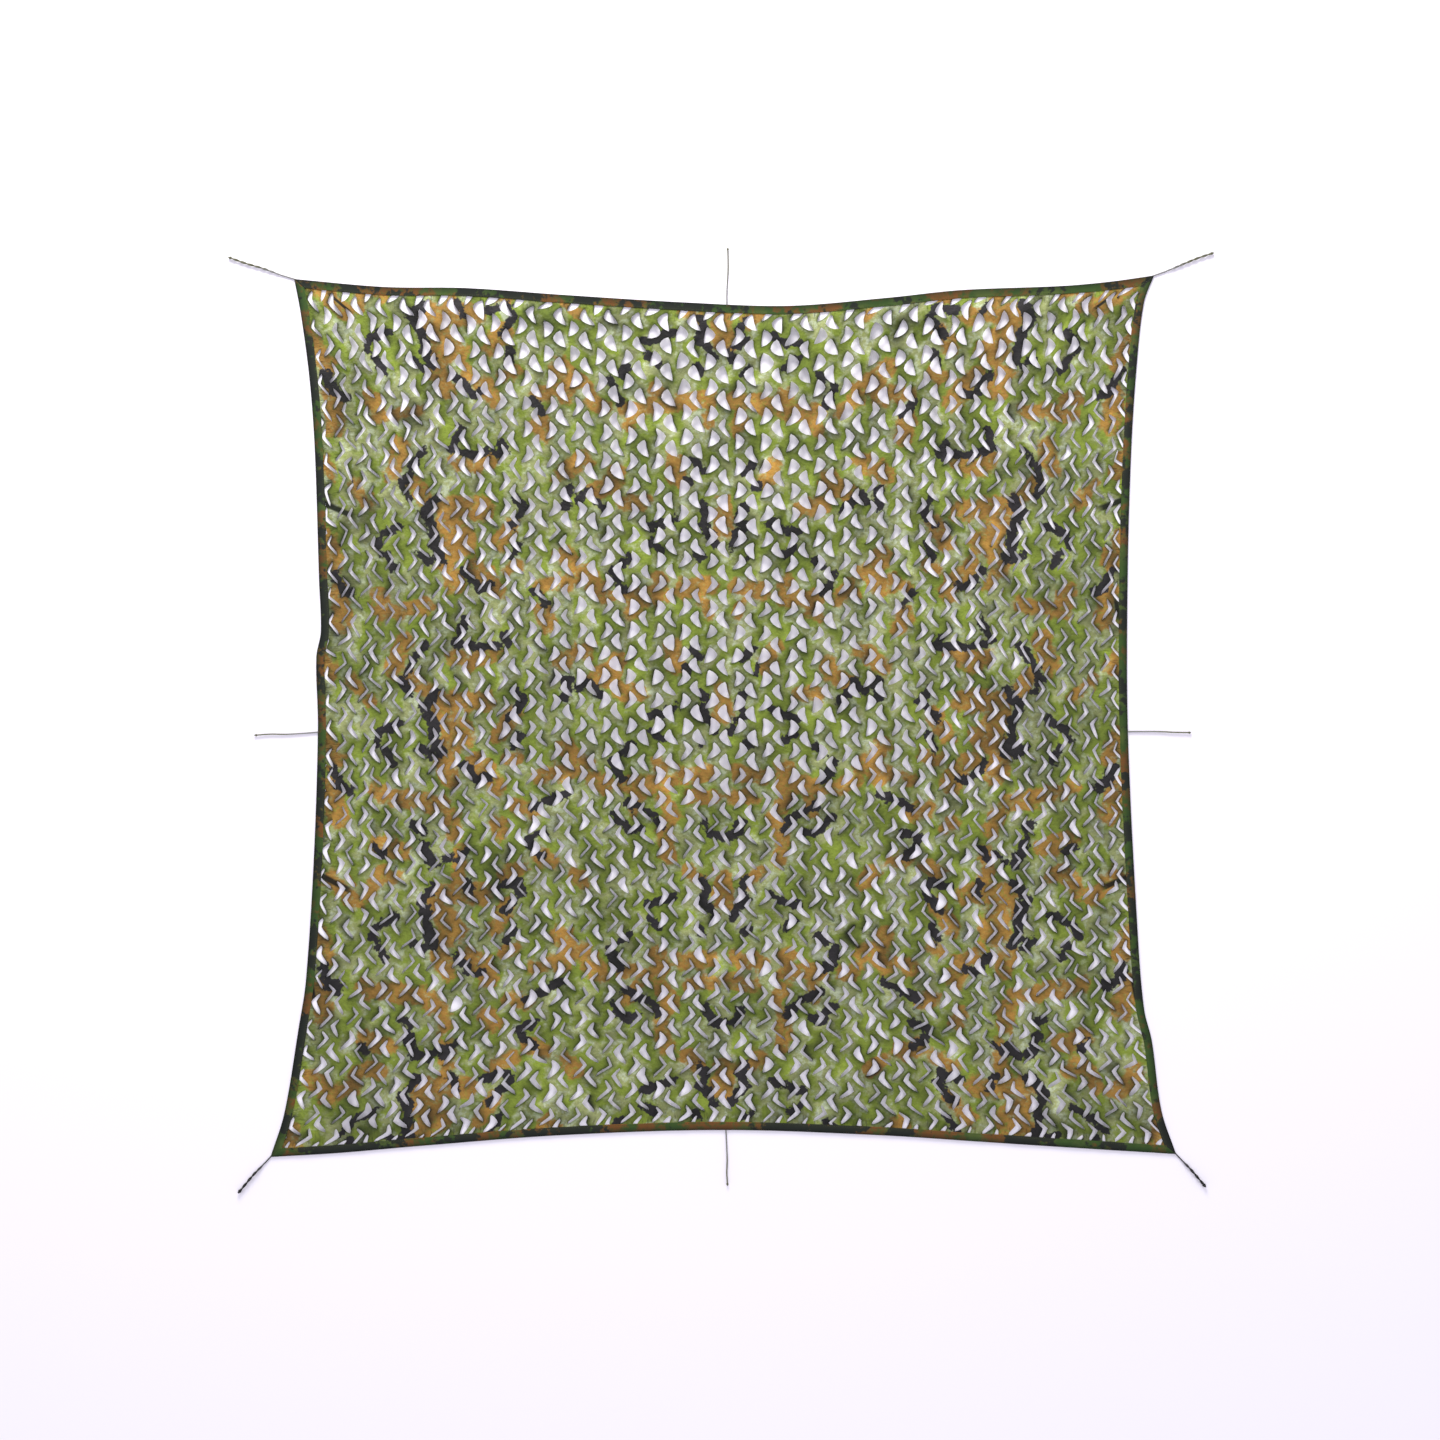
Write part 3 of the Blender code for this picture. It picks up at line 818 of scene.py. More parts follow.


# the woodland print
# One repeat of the print, charted as strokes: (distance from the net's middle, way down the
# repeat) points and a half width, in steps of one unit. It mirrors left and right. The "plain" strokes
# are added in two repeats and the "busy" ones in the others.
printRepeat = {
    "unit": 0.0034,  # metres
    "halfWidth": 408.0,  # units from the net's middle to its side
    "netHeight": 842.0,
    "fromTop": 122.0,  # units from the net's top to where the first whole repeat starts
    "height": 190.0,
    "ochreVary": 0.4,  # how much of the cell's own wander the ochre takes; the leaf takes all of it
    "ochreSpread": 0.004,  # metres added all round
    "darkSpread": 0.0015,
    "leafSpread": -0.004,
    "leafNoise": ((0.35, 11, 9), (0.65, 12, 19)),  # share, seed and sizes that go into one repeat
    "leafReach": 0.035,
    "plainRepeats": (0, 1),
    "busyRepeats": (-1, 2, 3),
    "ochre": (
        (((284, 93), (240, 95)), 9), (((280, 108), (262, 128)), 11), (((276, 132), (270, 136)), 8),
        (((212, 108), (225, 128)), 7), (((280, 150), (272, 168)), 8),
        (((250, 153), (236, 163), (228, 178)), 8), (((205, 148), (215, 153)), 5),
        (((160, 138), (148, 153), (158, 168)), 8), (((140, 153), (134, 158)), 6),
        (((185, 170), (165, 163)), 6), (((130, 171), (118, 178)), 7), (((40, 168), (15, 165)), 8),
        (((95, 178), (60, 175)), 7), (((65, 158), (60, 160)), 5), (((400, 128), (390, 148)), 8),
        (((350, 176), (342, 182)), 6), (((0, 80), (4, 110)), 6),
    ),
    "plainOchre": (
        (((388, -12), (385, 15)), 9), (((345, 5), (300, -2)), 6), (((322, 33), (330, 58)), 8),
        (((312, 68), (300, 81)), 7), (((268, 48), (255, 55), (232, 45)), 7),
        (((128, 73), (110, 65), (106, 53)), 8), (((100, 83), (80, 83)), 7),
        (((162, 58), (152, 48), (138, 41)), 7), (((182, 5), (178, 18)), 8), (((50, 38), (46, 55)), 7),
        (((85, -7), (95, 5)), 5), (((18, -7), (14, 5)), 5), (((400, 53), (395, 63)), 6),
        (((372, 73), (355, 90)), 5),
    ),
    "busyOchre": (
        (((395, -12), (385, 13)), 9), (((330, -7), (300, 0), (285, 3)), 7), (((275, 13), (268, 31)), 7),
        (((345, 38), (318, 48)), 7), (((340, 68), (325, 73)), 6), (((350, 88), (345, 73)), 6),
        (((262, 53), (262, 88)), 6), (((205, 8), (190, 15)), 6), (((228, 23), (222, 33)), 6),
        (((185, 58), (170, 65)), 6), (((200, 68), (215, 75)), 6),
        (((60, 3), (50, 18), (60, 33), (55, 63)), 6), (((85, 1), (90, 13)), 5), (((30, 0), (10, -2)), 6),
        (((35, 75), (25, 85)), 6), (((390, 73), (365, 93)), 7), (((150, 73), (138, 86)), 5),
    ),
    "dark": (
        (((288, 83), (300, 98), (292, 113), (290, 133), (284, 143)), 5),
        (((325, 111), (345, 121), (348, 131)), 4), (((340, 138), (332, 151)), 4),
        (((208, 83), (200, 93), (208, 103), (215, 111)), 4), (((206, 128), (212, 141)), 4),
        (((262, 155), (254, 163), (246, 173), (236, 169)), 4), (((392, 158), (385, 173), (375, 178)), 5),
        (((75, 108), (60, 105), (48, 98)), 4), (((72, 123), (62, 131)), 4), (((93, 138), (100, 145)), 4),
        (((110, 153), (106, 165), (102, 171)), 5),
        (((22, 83), (16, 93), (22, 105), (12, 113), (8, 123)), 4), (((25, 133), (22, 137)), 4),
        (((305, 138), (295, 145)), 4),
    ),
    "plainDark": (
        (((262, 15), (270, 35), (250, 41), (216, 39), (222, 29)), 4),
        (((300, 38), (312, 53), (318, 65)), 4), (((322, 71), (315, 83)), 4), (((155, 73), (158, 88)), 5),
        (((145, 83), (135, 73), (128, 83), (118, 91)), 4), (((190, -15), (180, -2)), 4),
        (((30, 38), (22, 48)), 4), (((36, 58), (34, 62)), 4),
    ),
    "busyDark": (
        (((310, 23), (300, 29)), 4), (((300, 41), (295, 53), (290, 61)), 5), (((280, 61), (270, 53)), 4),
        (((265, 61), (256, 51)), 4), (((180, 35), (196, 41), (190, 51), (180, 58)), 4),
        (((190, 11), (175, 3), (155, -5)), 4), (((108, 18), (100, 28), (92, 35), (82, 33)), 4),
        (((95, 6), (82, 13), (70, 18), (60, 31)), 4), (((18, 25), (12, 38), (0, 41)), 4),
        (((348, 43), (340, 51)), 4), (((255, 83), (250, 95)), 4), (((225, 88), (205, 83)), 4),
    ),
}


def strokeField(across, down, kind):
    # metres inside the nearest stroke's edge, below 0 outside every stroke
    height = printRepeat["height"]
    best = np.full(np.shape(across), -np.inf)
    plain, busy = printRepeat["plainRepeats"], printRepeat["busyRepeats"]
    for name, repeats in ((kind.lower(), plain + busy), ("plain" + kind, plain), ("busy" + kind, busy)):
        for points, halfWidth in printRepeat[name]:
            for (x0, y0), (x1, y1) in zip(points, points[1:]):
                dx, dy = x1 - x0, y1 - y0
                for repeat in repeats:
                    fromX, fromY = across - x0, down - y0 - repeat * height
                    t = np.clip((fromX * dx + fromY * dy) / (dx * dx + dy * dy), 0.0, 1.0)
                    best = np.maximum(best, halfWidth - np.hypot(fromX - t * dx, fromY - t * dy))
    return best * printRepeat["unit"]


def addPrint(mesh, u, v, vary):
    # u and v place each point on the cloth; the print mirrors about its middle and repeats downwards
    look = printRepeat
    across = np.abs(2 * u - 1) * look["halfWidth"]
    down = (1 - v) * look["netHeight"] - look["fromTop"]
    height = look["height"]
    ochre = strokeField(across, down, "Ochre") + look["ochreVary"] * vary + look["ochreSpread"]
    pointAttribute(mesh, "printOchre", ochre)
    pointAttribute(mesh, "printDark", strokeField(across, down, "Dark") + look["darkSpread"])
    place = np.column_stack([across, down % height])
    leaf = sum(
        share * smoothNoise(place, seed, height / sizes, sizes)
        for share, seed, sizes in look["leafNoise"]
    ) - 0.5
    pointAttribute(mesh, "printLeaf", leaf * look["leafReach"] + vary + look["leafSpread"])


# the cut cloth
netShape = {
    "columns": 33,
    "rows": 34,
    "span": 2.95,  # metres from side to side, for lengths that are shares of it
    "squeeze": (0.02, 0.09),  # how much the columns close up towards the sides, at the bottom and above it
    "squeezeHeights": (0.28, 0.48),  # shares of the height between which that changes
    # (share of the rows, share of the height) from the bottom up, in the middle and at the sides
    "middleRows": ((0.0, 0.0), (0.50, 0.497), (0.82, 0.811), (1.0, 1.0)),
    "sideRows": ((0.0, 0.0), (0.35, 0.336), (0.515, 0.498), (0.81, 0.80), (1.0, 1.0)),
    "middleToSide": (0.35, 0.85),  # shares of the way out between which the rows change over
    "inset": 0.0018,  # from the binding's outer edge to the cloth's own edge
    "lift": 0.0025,  # height of the cloth between the binding's leaves
    "low": 0.0008,
    "high": 0.0215,
    "free": (0.027, 0.080),  # ways in from the edge between which the cloth leaves the binding
    "lie": (0.0100, 0.0170),  # height that the tongues prop the cloth to, where slack and where pulled open
    "lieOpenness": (0.15, 0.45),  # what counts as slack and as pulled open
    "swells": ((3, 0.16, 0.0035), (4, 0.05, 0.0015)),  # seed, size and height of the shallow waves
    "curlPower": 1.3,  # above 1 the curl sits nearer the tongue's tip
    "stray": (0.16, 2.6, (51, 52)),  # cells that the lattice wanders, over how many cells, and the seeds
    "relaxing": (60, 0.85),  # steps, and the share of the way to the neighbours' mean in each
    # the darkening along a cut is painted shade
    "rimReach": 0.90,  # how much of the darkening along a cut passes from one point to the next
    # a tongue's share of the wander draws the print's darker leaf green onto it, as painted shade
    "printWander": (0.014, 0.016),  # metres that a cut's edge and its tongue move the print's patches
    "gatherReach": 0.075,  # how far in from the edge the gathers run
    "sliver": 2e-8,  # smallest triangle kept, in square metres
}

# How the cuts differ from each other. Spreads are standard deviations, and lengths are in cells.
cutDraws = {
    "seed": 7,
    "crowding": (1.4, 1.2),  # how much more uneven the cuts beside the binding are, and its reach
    "pinch": (0.6, 0.8),  # how much less open they are, and its reach
    "uneven": (0.14, 0.11),  # spread of the openness, and what is added low down, away from the edge
    "unevenHeights": (0.50, 0.36),
    "unevenInside": (1.0, 2.5),
    "openness": (-0.12, 1.15),  # the least and the most
    "turn": 0.09,  # radians
    "grow": 0.05,
    "shift": 0.018,
    "droop": (0.0050, 0.0125),  # metres that a tongue hangs, at a slack cut and at a wide one
    "droopSpread": 0.12,
    "standing": (0.10, -0.7),  # share of the tongues that curl up instead, and how far for their droop
    "outerLift": (0.0015, 0.0012),  # metres that a cut's outer edge stands up, and the spread
    "sway": 0.02,
    "shade": (-0.6, 1.8),  # range of an edge's own shade before it is clipped to 0 and 1
    "tipRow": (0.0, 0.55, 0.9, 1.0, 0.95, 0.75, 0.4, 0.0),  # how a tongue's lift runs along its cut
    "shadeRow": (0.3, 1.0, 1.0, 0.9, 0.7, 0.5, 0.3, 0.0),  # and its shade
}

# The two cuts of a repeat, in cells from each one's vertex, as (across, up), from top tip to bottom tip.
# The outer edge and the tongue's edge are each given slack and pulled wide.
leftCut = {
    "vertex": (0.30, 0.28),
    "outerSlack": (
        (0.24, 0.35), (0.165, 0.265), (0.07, 0.125), (0.0, 0.0),
        (0.11, -0.135), (0.235, -0.265), (0.375, -0.395), (0.50, -0.48),
    ),
    "outerWide": (
        (0.25, 0.32), (0.12, 0.235), (0.03, 0.12), (-0.015, 0.0),
        (0.025, -0.115), (0.11, -0.21), (0.26, -0.305), (0.44, -0.35),
    ),
    "tongueSlack": (
        (0.24, 0.35), (0.262, 0.262), (0.190, 0.120), (0.135, 0.005),
        (0.225, -0.105), (0.345, -0.225), (0.468, -0.350), (0.50, -0.48),
    ),
    "tongueWide": (
        (0.25, 0.32), (0.305, 0.255), (0.330, 0.16), (0.355, 0.06),
        (0.385, -0.045), (0.415, -0.15), (0.44, -0.255), (0.44, -0.35),
    ),
}
rightCut = {
    "vertex": (0.34, 0.75),
    "outerSlack": (
        (-0.27, 0.35), (-0.19, 0.265), (-0.08, 0.125), (0.0, 0.0),
        (-0.11, -0.135), (-0.235, -0.26), (-0.365, -0.39), (-0.48, -0.48),
    ),
    "outerWide": (
        (-0.27, 0.32), (-0.14, 0.24), (-0.04, 0.125), (0.015, 0.0),
        (-0.03, -0.115), (-0.12, -0.21), (-0.27, -0.305), (-0.44, -0.35),
    ),
    "tongueSlack": (
        (-0.27, 0.35), (-0.285, 0.262), (-0.210, 0.120), (-0.140, 0.005),
        (-0.228, -0.105), (-0.345, -0.222), (-0.455, -0.348), (-0.48, -0.48),
    ),
    "tongueWide": (
        (-0.27, 0.32), (-0.32, 0.255), (-0.345, 0.16), (-0.37, 0.06),
        (-0.395, -0.045), (-0.42, -0.15), (-0.44, -0.255), (-0.44, -0.35),
    ),
}
cuts = (leftCut, rightCut)

# The points that fill the cloth of a repeat: rings beside the cuts' edges as (edge, way in, points),
# then an uneven grid, each point with its least distance from the others.
lattice = {
    "rings": (("tongue", 0.055, 7), ("tongue", 0.12, 5), ("outer", 0.05, 7)),
    "ringSpan": (0.10, 0.90),  # shares of an edge between which its rings run
    "ringSpace": 0.034,
    "grid": 11,
    "gridSpace": 0.078,
    "wobble": (0.013, 0.011),  # cells across and up
}

neighbours = [np.array((i, j)) for i in (-1, 0, 1) for j in (-1, 0, 1)]  # and the repeat itself


def midCurve(cut, kind, openness=0.5):
    slack, wide = np.array(cut[kind + "Slack"]), np.array(cut[kind + "Wide"])
    return slack + (wide - slack) * openness + np.array(cut["vertex"])


def inwardRing(curve, depth, count, towards):
    # points beside a curve, on its cloth's side
    share = np.linspace(*lattice["ringSpan"], count) * (len(curve) - 1)
    i = np.minimum(share.astype(int), len(curve) - 2)
    t = (share - i)[:, None]
    points = curve[i] * (1 - t) + curve[i + 1] * t
    ways = curve[i + 1] - curve[i]
    normals = np.column_stack([-ways[:, 1], ways[:, 0]]) / np.linalg.norm(ways, axis=1)[:, None]
    return points + normals * depth * towards


def insidePolygon(point, polygon):
    # whether the point lies inside, by counting the sides to its right
    x, y = point
    inside = False
    for (x0, y0), (x1, y1) in zip(polygon, np.roll(polygon, -1, axis=0)):
        if (y0 > y) != (y1 > y) and x < (x1 - x0) * (y - y0) / (y1 - y0) + x0:
            inside = not inside
    return inside


def cutOutlines():
    # the points on the cuts' edges, which cut, edge and place along it each one is, and a loop round each cut
    points, edges, outlines = [], {}, []
    for number, cut in enumerate(cuts):
        outer, tongue = midCurve(cut, "outer"), midCurve(cut, "tongue")
        first, last = len(points), len(outer) - 1
        points += list(outer) + list(tongue[1:-1])
        named = [("outer", i) for i in range(last + 1)] + [("tongue", i) for i in range(1, last)]
        for step, (kind, i) in enumerate(named):
            edges[first + step] = (number, kind, i)
        back = range(first + last + 1, len(points))
        outlines.append([*range(first, first + last + 1), *reversed(back)])
    return points, edges, outlines


def inCut(point, polygons):
    return any(insidePolygon(point - step, polygon) for polygon in polygons for step in neighbours)


def fillTemplate(points, polygons):
    # the cuts' own points and those that fill the cloth between them
    kept = list(points)

    def keep(point, least):
        near = any(np.hypot(*(point - other - step)) < least for other in kept for step in neighbours)
        if not near and not inCut(point, polygons):
            kept.append(point)

    for number, cut in enumerate(cuts):
        facing = 1 if number == 0 else -1
        for kind, depth, count in lattice["rings"]:
            towards = facing if kind == "tongue" else -facing
            for point in inwardRing(midCurve(cut, kind), depth, count, towards):
                keep(point, lattice["ringSpace"])
    steps = lattice["grid"]
    wobbleX, wobbleY = lattice["wobble"]
    for j in range(steps):
        for i in range(steps):
            x = (i + 0.5 * (j % 2)) / steps + wobbleX * math.sin(7 * i + 3 * j)
            y = j / steps + wobbleY * math.cos(5 * i - 4 * j)
            keep(np.array((x, y)), lattice["gridSpace"])
    return np.array(kept)


def makeTemplate():
    # One repeat of the lattice: its points, which of them lie on a cut's edges, and its triangles, each
    # corner as (column step, row step, point).
    points, edges, outlines = cutOutlines()
    polygons = [np.array([points[k] for k in loop]) for loop in outlines]
    points = fillTemplate(points, polygons)
    count = len(points)
    tiles = [(i, j) for i in range(-2, 3) for j in range(-2, 3)]
    flat, limits = [], []
    for i, j in tiles:
        base = len(flat)
        flat += [Vector((p[0] + i, p[1] + j)) for p in points]
        for loop in outlines:
            limits += [(base + a, base + b) for a, b in zip(loop, loop[1:] + loop[:1])]
    made = delaunay_2d_cdt(flat, limits, [], 0, 1e-7)
    triangles = []
    for face in made[2]:
        corner = [made[3][v][0] for v in face]
        named = [(*tiles[c // count], c % count) for c in corner]
        lead = min(named, key=lambda n: (n[2], n[0], n[1]))
        middle = sum((points[k] + np.array((i, j)) for i, j, k in named), np.zeros(2)) / 3
        if lead[:2] == (0, 0) and not inCut(middle, polygons):
            triangles.append(named)
    print("lattice repeat:", count, "points,", len(triangles), "triangles")
    return points, edges, triangles


# How far the cuts are pulled open, from 0 to 1. Heights and widths are shares of the net.
opening = {
    "upper": (0.06, 0.78),  # at the sides, and what is added in the middle
    "reach": (0.50, 0.42),  # half width of the middle, and what is added to it near the top
    "reachHeights": (0.80, 0.95),
    "fall": 3,  # how suddenly the middle ends
    "top": 0.28,  # added along the top
    "topHeights": (0.88, 0.96),
    "waist": (0.12, 0.66, 0.05),  # taken off in a band, its height and half width
    "lower": (0.25, 0.12),  # in the middle, and what is taken off at the sides
    "corners": (0.30, 0.10),  # added at the bottom corners, and how far up it reaches
    "change": (0.36, 0.50),  # heights between which the lower part becomes the upper one
}


def opennessAt(u, v):
    side = np.abs(2 * u - 1)
    reach, wider = opening["reach"]
    reach = reach + wider * smoothStep(*opening["reachHeights"], v)
    atSides, inMiddle = opening["upper"]
    less, height, halfWidth = opening["waist"]
    upper = atSides + inMiddle * np.exp(-((side / reach) ** opening["fall"]))
    upper = upper - less * np.exp(-(((v - height) / halfWidth) ** 2))
    upper = upper + opening["top"] * smoothStep(*opening["topHeights"], v)
    inMiddle, less = opening["lower"]
    more, height = opening["corners"]
    lower = inMiddle - less * side**2 + more * np.exp(-((v / height) ** 2)) * side**2
    return lower + (upper - lower) * smoothStep(*opening["change"], v)


# Creases pressed into the cloth beside the binding, as (start, end, half width). They show as
# painted shade and a dent in the bump.
creases = (
    ((-1.388, 0.737), (-1.262, 0.681), 0.0120), ((1.398, 0.751), (1.280, 0.705), 0.0120),
    ((-1.364, 0.413), (-1.353, 0.320), 0.0095), ((1.338, 0.400), (1.348, 0.325), 0.0095),
    ((-1.388, -0.534), (-1.270, -0.594), 0.0120), ((1.421, -0.530), (1.293, -0.584), 0.0120),
    ((-1.412, -0.882), (-1.394, -0.967), 0.0095), ((1.393, -0.882), (1.408, -0.967), 0.0095),
    ((-1.345, 1.440), (-1.270, 1.375), 0.0055), ((1.345, 1.445), (1.262, 1.385), 0.0055),
)

creaseLook = {
    "far": 9.0,  # half widths out to which a crease counts at all
    "shows": 4,  # and out to which it shows
    "fade": 0.015,  # metres over which each end fades
}


def creaseFields(plan):
    # how far each point is to one side of its crease, in half widths, and how much of the crease shows there
    far, fade = creaseLook["far"], creaseLook["fade"]
    side, shows = np.full(len(plan), far), np.zeros(len(plan))
    for start, end, halfWidth in creases:
        way = np.array(end) - start
        reach = np.hypot(*way)
        way = way / reach
        fromStart = plan - start
        run = fromStart @ way
        offset = (fromStart[:, 0] * way[1] - fromStart[:, 1] * way[0]) / halfWidth
        inside = smoothStep(-fade, fade, run) * smoothStep(-fade, fade, reach - run)
        here = (inside > 0) & (np.abs(offset) < far)
        side[here] = offset[here]
        shows[here] = (inside * (np.abs(offset) < creaseLook["shows"]))[here]
    return side, shows


cutDraw = namedtuple("cutDraw", "openness turn grow shift droop outerLift sway tones hues shades")


def drawCuts(cut, column, row, draw, drawShade):
    # what each cell's cut of one kind gets: how far it is open, turned, moved and curled, and its shades
    look, cells = cutDraws, len(column)
    columns, rows = netShape["columns"], netShape["rows"]
    across, up = cut["vertex"]
    u = np.clip((column + across) / columns, 0.0, 1.0)
    v = np.clip((row + up) / rows, 0.0, 1.0)
    fromEdge = np.minimum(np.minimum(u, 1 - u) * columns, np.minimum(v, 1 - v) * rows)
    more, reach = look["crowding"]
    crowd = 1 + more * np.exp(-fromEdge / reach)
    usual, added = look["uneven"]
    inside = smoothStep(*look["unevenInside"], fromEdge)
    uneven = usual + added * smoothStep(*look["unevenHeights"], v) * inside
    less, reach = look["pinch"]
    openness = opennessAt(u, v) * (1 - less * np.exp(-fromEdge / reach))
    openness = np.clip(openness + draw.normal(0.0, 1.0, cells) * uneven, *look["openness"])
    turn = draw.normal(0.0, look["turn"], cells) * crowd
    grow = 1.0 + draw.normal(0.0, look["grow"], cells)
    shift = draw.normal(0.0, look["shift"], (cells, 2)) * crowd[:, None]
    slack, wide = look["droop"]
    droop = slack + (wide - slack) * np.clip(openness, 0, 1)
    droop = droop * (1 + draw.normal(0.0, look["droopSpread"], cells))
    share, rise = look["standing"]
    droop = np.where(draw.rand(cells) < share, rise * droop, droop)
    outerLift = np.abs(draw.normal(*look["outerLift"], cells))
    sway = draw.normal(0.0, look["sway"], cells)
    tones, hues = draw.normal(0.0, 1.0, (2, 2, cells))
    shades = np.clip(drawShade.uniform(*look["shade"], (2, cells)), 0.0, 1.0)
    return cutDraw(openness, turn, grow, shift, droop, outerLift, sway, tones, hues, shades)


def layEdge(cut, kind, i, drawn):
    # where the edge's point i lies in every cell, measured from the cell's own corner
    vertex = np.array(cut["vertex"])
    centre = midCurve(cut, "outer").mean(0) - vertex
    slack, pulled = np.array(cut[kind + "Slack"][i]), np.array(cut[kind + "Wide"][i])
    local = slack + (pulled - slack) * drawn.openness[:, None] - centre
    if kind == "tongue":
        local[:, 1] += drawn.sway * cutDraws["tipRow"][i]
    c, s = np.cos(drawn.turn), np.sin(drawn.turn)
    turned = np.column_stack([local[:, 0] * c - local[:, 1] * s, local[:, 0] * s + local[:, 1] * c])
    return vertex + centre + turned * drawn.grow[:, None] + drawn.shift


def layCuts(place, fields, edges, column, row):
    # where the points on the cuts' edges lie in every cell, and what the cloth is like there
    draw = np.random.RandomState(cutDraws["seed"])
    drawShade = np.random.RandomState(cutDraws["seed"] + 1)
    drawns = [drawCuts(cut, column, row, draw, drawShade) for cut in cuts]
    last = len(cutDraws["tipRow"]) - 1
    for k, (number, kind, i) in edges.items():
        cut, drawn = cuts[number], drawns[number]
        onTongue = kind == "tongue"
        place[:, k] = layEdge(cut, kind, i, drawn) + np.column_stack([column, row])
        if onTongue:
            fields["height"][:, k] = -drawn.droop * cutDraws["tipRow"][i]
            fields["tongueSide"][:, k] = cutDraws["shadeRow"][i]
        else:
            fields["height"][:, k] = drawn.outerLift * math.sin(math.pi * i / last)
        # full painted shade on every cut's edge
        fields["rim"][:, k] = 1.0
        fields["tone"][:, k] = drawn.tones[int(onTongue)]
        fields["hue"][:, k] = drawn.hues[int(onTongue)]
        fields["underShade"][:, k] = drawn.shades[int(onTongue)]


def latticeFaces(triangles, count, column, row):
    # triangles of the whole lattice, corners numbered over all cells
    cells = len(column)
    tall, wide = netShape["rows"] + 2, netShape["columns"] + 2
    index = np.full((tall, wide), -1)
    index[row + 1, column + 1] = np.arange(cells)
    corner = []
    for i, j, k in [c for triangle in triangles for c in triangle]:
        r, q = row + 1 + j, column + 1 + i
        ok = (r >= 0) & (r < tall) & (q >= 0) & (q < wide)
        cell = np.where(ok, index[np.clip(r, 0, tall - 1), np.clip(q, 0, wide - 1)], -1)
        corner.append(np.where(cell >= 0, cell * count + k, -1))
    faces = np.stack(corner, axis=1).reshape(-1, 3)
    return faces[(faces >= 0).all(1)]


def relax(flat, fields, faces, moving):
    # the cloth between the cuts follows their edges, as a pulled membrane does
    total = len(flat)
    a = np.concatenate([faces[:, corner] for corner in (0, 1, 2, 1, 2, 0)])
    b = np.concatenate([faces[:, corner] for corner in (1, 2, 0, 0, 1, 2)])
    degree = np.bincount(a, minlength=total).astype(float)
    moving = moving & (degree > 0)
    steps, share = netShape["relaxing"]

    def mean(values):
        return (np.bincount(a, weights=values[b], minlength=total) / np.maximum(degree, 1))[moving]

    smooth = [flat[:, 0], flat[:, 1]] + [fields[name] for name in fields if name != "rim"]
    for _ in range(steps):
        for values in smooth:
            values[moving] += share * (mean(values) - values[moving])
        # the painted shade along the cuts fades inwards
        fields["rim"][moving] = netShape["rimReach"] * mean(fields["rim"])


def netShares(flat):
    # cells as shares of the columns and rows, and then of the net; neighbouring cuts are drawn askew together
    columns, rows = netShape["columns"], netShape["rows"]
    reach, size, seeds = netShape["stray"]
    stray = [smoothNoise(flat, seed, size) - 0.5 for seed in seeds]
    q = np.clip(flat[:, 0] + reach * stray[0], 0.0, columns) / columns
    r = np.clip(flat[:, 1] + reach * stray[1], 0.0, rows) / rows
    low, high = netShape["squeeze"]
    squeeze = low + (high - low) * smoothStep(*netShape["squeezeHeights"], r)
    u = q - squeeze / (2 * math.pi) * np.sin(2 * math.pi * q)
    sideways = smoothStep(*netShape["middleToSide"], np.abs(2 * u - 1))
    v = through(netShape["middleRows"], r) * (1 - sideways) + through(netShape["sideRows"], r) * sideways
    return q, r, u, v


def sheetHeight(plan, u, v, toEdge, height):
    # height above the floor: held by the binding at the edge, and further in propped up, waved and curled
    shape, most = netShape, cutDraws["droop"][1]
    curled = np.sign(height) * (np.abs(height) / most) ** shape["curlPower"] * most
    swell = sum((smoothNoise(plan, seed, size) - 0.5) * rise for seed, size, rise in shape["swells"])
    slack, pulled = shape["lie"]
    lie = slack + (pulled - slack) * smoothStep(*shape["lieOpenness"], opennessAt(u, v))
    field = np.clip(lie + swell + curled, shape["low"], shape["high"])
    return shape["lift"] + (field - shape["lift"]) * smoothStep(*shape["free"], toEdge)


def triangleSides(points, faces):
    return points[faces[:, 1]] - points[faces[:, 0]], points[faces[:, 2]] - points[faces[:, 0]]


def laidFaces(faces, plan, q, r):
    # without what was clipped flat on the border, and without slivers
    beyond = [q <= 0, q >= 1, r <= 0, r >= 1]
    faces = faces[~np.any([side[faces].all(1) for side in beyond], axis=0)]
    one, two = triangleSides(plan, faces)
    area = 0.5 * (one[:, 0] * two[:, 1] - one[:, 1] * two[:, 0])
    print("turned over:", int((area < -1e-9).sum()), "of", len(faces))
    return faces[np.abs(area) > netShape["sliver"]]


def clothAttributes(mesh, plan, u, v, toEdge, fields):
    # what the cloth's material reads at each point
    fromCut, onTongue = netShape["printWander"]
    # the tongues' share draws the print's darker leaf green onto them as painted shade
    addPrint(mesh, u, v, fromCut * fields["hue"] + onTongue * fields["tongueSide"])
    for name in ("tongueSide", "rim", "tone", "underShade"):
        pointAttribute(mesh, name, fields[name])
    alongUp = np.minimum(u, 1 - u) < np.minimum(v, 1 - v)
    pointAttribute(mesh, "alongEdge", np.where(alongUp, plan[:, 1], plan[:, 0]))
    pointAttribute(mesh, "gathered", np.exp(-((toEdge / netShape["gatherReach"]) ** 2)))
    pointAttribute(mesh, "toEdge", toEdge)
    creaseSide, creaseShows = creaseFields(plan)
    pointAttribute(mesh, "creaseSide", creaseSide)
    pointAttribute(mesh, "creaseShows", creaseShows)


